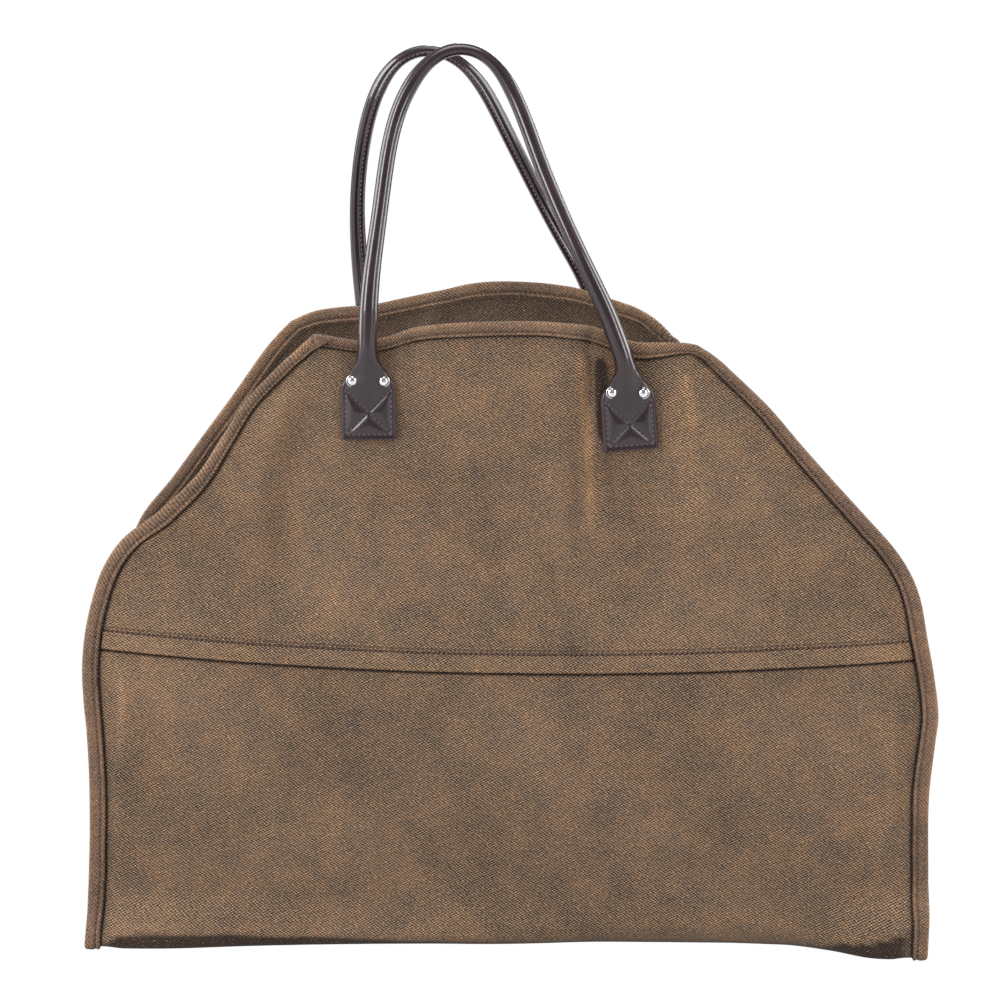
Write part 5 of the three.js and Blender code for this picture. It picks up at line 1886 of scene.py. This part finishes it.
@dataclass
class Rivet:
    """A double cap rivet: a domed cap with a rolled rim on each side of a shank."""

    node: str
    side: Side
    nickel: bpy.types.Material
    segments: int = 48
    dome_share: float = 0.80
    ball_share: float = 1.12
    rim_radius: float = 0.00055
    rim_stand: float = 0.8
    shank_radius: float = 0.0015
    shank_short: float = 0.0015
    face_seat: float = 0.0025
    face_rise: float = 0.0023
    back_seat: float = 0.0012
    back_rise: float = 0.0011

    def build(self) -> bpy.types.Object:
        """Models the rivet where its solid stands, and hides the solid."""
        low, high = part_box(self.node)
        radius = (high.x - low.x) / 2
        middle = (low + high) / 2
        way = self.side.value
        face, back = (low.y, high.y) if way < 0 else (high.y, low.y)
        parts = [
            self.cap(middle, face - way * self.face_seat, way, radius, self.face_rise),
            self.cap(middle, back + way * self.back_seat, -way, radius, self.back_rise),
        ]
        bpy.ops.mesh.primitive_cylinder_add(
            vertices=self.segments // 2, radius=self.shank_radius,
            depth=abs(face - back) - self.shank_short,
            location=(middle.x, (face + back) / 2, middle.z), rotation=(math.pi / 2, 0, 0),
        )
        parts.append(bpy.context.object)
        bpy.ops.object.select_all(action="DESELECT")
        for part in parts:
            part.select_set(True)
        bpy.context.view_layer.objects.active = parts[0]
        bpy.ops.object.join()
        made = bpy.context.object
        bpy.ops.object.transform_apply(location=True, rotation=True, scale=True)
        bpy.ops.object.shade_smooth_by_angle(angle=math.radians(40))
        made.name = made.data.name = f"{self.node}_cap"
        made.data.materials.clear()
        made.data.materials.append(self.nickel)
        places = np.empty(len(made.data.vertices) * 3)
        made.data.vertices.foreach_get("co", places)
        away = places.reshape(-1, 3) - np.array(middle)
        reach = made.data.attributes.new("reach", "FLOAT", "POINT")
        reach.data.foreach_set("value", np.hypot(away[:, 0], away[:, 2]) / radius)
        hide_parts(self.node)
        return made

    def cap(self, middle: Vector, seat: float, way: int, radius: float, rise: float) -> bpy.types.Object:
        """Models one cap: a ball flattened to a dome, cut at its seat, with a rolled rim round it.

        Args:
            middle: The rivet's middle, in metres.
            seat: Where the cap sits, along Y.
            way: The way it faces along Y.
            radius: The cap's radius with its rim.
            rise: How high the dome stands.

        Returns:
            The cap.
        """
        ball = radius * self.dome_share * self.ball_share
        bpy.ops.object.select_all(action="DESELECT")
        bpy.ops.mesh.primitive_uv_sphere_add(
            segments=self.segments, ring_count=24, radius=ball,
            location=(middle.x, seat, middle.z), rotation=(math.pi / 2, 0, 0),
        )
        dome = bpy.context.object
        bpy.ops.object.mode_set(mode="EDIT")
        bpy.ops.mesh.select_all(action="SELECT")
        bpy.ops.transform.resize(value=(1, rise / ball, 1), center_override=(middle.x, seat, middle.z))
        bpy.ops.mesh.bisect(
            plane_co=(middle.x, seat, middle.z), plane_no=(0, -way, 0), clear_outer=True, use_fill=True
        )
        bpy.ops.mesh.select_all(action="DESELECT")
        bpy.ops.mesh.primitive_torus_add(
            major_segments=self.segments, minor_segments=12, major_radius=radius - self.rim_radius,
            minor_radius=self.rim_radius, rotation=(math.pi / 2, 0, 0),
            location=(middle.x, seat + way * self.rim_radius * self.rim_stand, middle.z),
        )
        bpy.ops.object.mode_set(mode="OBJECT")
        return dome


@dataclass
class Studio:
    """The floor, the light and the camera of the photograph.

    The eye is in millimetres and the angles are in degrees. The floor and the lamps are in metres.
    """

    eye: tuple[float, float, float] = (-6.3, -1682.0, 584.0)
    pitch: float = 10.9
    roll: float = 0.75
    lens: float = 97.6
    sensor: float = 36.0
    floor_half: float = 250.0
    lit_height: float = 0.25
    surround: float = 0.30

    def floor(self) -> None:
        """Lays the plain pale floor."""
        bpy.ops.object.select_all(action="DESELECT")
        bpy.ops.mesh.primitive_plane_add(size=self.floor_half * 2, location=(0, 0, 0))
        ground = bpy.context.object
        ground.name = "floor"
        ground.data.materials.append(PaleFloor("pale_floor").make())

    def camera(self) -> None:
        """Stands the camera where the photograph was taken from."""
        pitch, roll = math.radians(self.pitch), math.radians(self.roll)
        ahead = Vector((0, math.cos(pitch), -math.sin(pitch)))
        right, up = Vector((1, 0, 0)), Vector((0, math.sin(pitch), math.cos(pitch)))
        right, up = (
            right * math.cos(roll) + up * math.sin(roll),
            up * math.cos(roll) - right * math.sin(roll),
        )
        data = bpy.data.cameras.new("camera")
        data.sensor_width = self.sensor
        data.lens = self.lens
        eye = bpy.data.objects.new("camera", data)
        turn = Matrix((right, up, -ahead)).transposed().to_4x4()
        eye.matrix_world = Matrix.Translation(Vector(self.eye) * MM) @ turn
        bpy.context.scene.collection.objects.link(eye)
        bpy.context.scene.camera = eye

    def lights(self) -> None:
        """Hangs the soft lamps and the white surround."""
        lamps = (
            ("left_box", (-1.9, -1.7, 1.1), (0.8, 1.7), 57.0),
            ("right_box", (1.9, -1.7, 1.0), (0.6, 1.7), 32.0),
            ("top_box", (-0.2, -0.5, 2.4), (1.8, 1.2), 35.0),
            ("back_box", (0.6, 2.2, 1.4), (1.6, 1.2), 40.0),
            ("right_strip", (2.2, 0.35, 0.9), (1.3, 2.2), 66.0),
            ("left_strip", (-2.2, 0.35, 0.9), (1.3, 2.2), 58.0),
        )
        lit = Vector((0, 0, self.lit_height))
        for name, place, size, power in lamps:
            data = bpy.data.lights.new(name, "AREA")
            data.shape, data.size, data.size_y, data.energy = "RECTANGLE", *size, power
            lamp = bpy.data.objects.new(name, data)
            lamp.location = place
            lamp.rotation_mode = "QUATERNION"
            lamp.rotation_quaternion = (lit - Vector(place)).to_track_quat("-Z", "Y")
            bpy.context.scene.collection.objects.link(lamp)
        world = bpy.data.worlds.new("surround")
        world.use_nodes = True
        world.node_tree.nodes["Background"].inputs["Color"].default_value = (1, 1, 1, 1)
        world.node_tree.nodes["Background"].inputs["Strength"].default_value = self.surround
        bpy.context.scene.world = world
        bpy.context.scene.view_settings.view_transform = "Standard"


@dataclass
class LogCarrier:
    """The whole carrier."""

    form: Form
    finishes: Finishes

    def cloth(self) -> None:
        form, finish = self.form, self.finishes
        base = BasePanel(form, finish.canvas).build()
        tape = EdgeTape(form, finish.tape, finish.canvas_thread)
        bound, sewn, end = tape.build(), tape.stitch(), tape.end()
        for piece, slot in ((base, "canvas"), (bound, "binding"), (sewn, "binding"), (end, "binding")):
            self.settle(piece, slot)
        for side in Side:
            panel = UpperPanel(form, finish.canvas, side=side)
            made = panel.build()
            name = f"{side.name.lower()}_seam_stitches"
            seam = Stitches().make(name, panel.seam_rows(), finish.canvas_thread)
            self.settle(made, "canvas")
            self.settle(seam, "canvas")
            panel.cut_area()
        for hand in (-1, 1):
            gusset = Gusset(form, finish.canvas, hand=hand).build()
            self.settle(gusset, "canvas")

    def leather(self) -> None:
        """Makes the handles and their rivets."""
        for side in Side:
            handle = Handle(self.form, side, self.finishes.leather, self.finishes.leather_thread)
            self.settle(handle.build(), "leather")
            self.settle(handle.stitch(), "leather")
            for number in range(1, 5):
                rivet = Rivet(f"{side.name.lower()}_rivet_{number}", side, self.finishes.nickel)
                self.settle(rivet.build(), "rivet")

    @staticmethod
    def settle(piece: bpy.types.Object, slot: str) -> None:
        """Fixes a finished piece to the carrier and logs its face count."""
        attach(piece, "root")
        log.info("%s: %d faces", piece.name, len(piece.data.polygons))


def main() -> None:
    """Builds the studio and the carrier."""
    logging.basicConfig(level=logging.INFO, format="%(name)s: %(message)s")
    studio = Studio()
    studio.floor()
    studio.camera()
    studio.lights()
    carrier = LogCarrier(Form(), Finishes())
    carrier.cloth()
    carrier.leather()


if __name__ == "__main__":
    main()
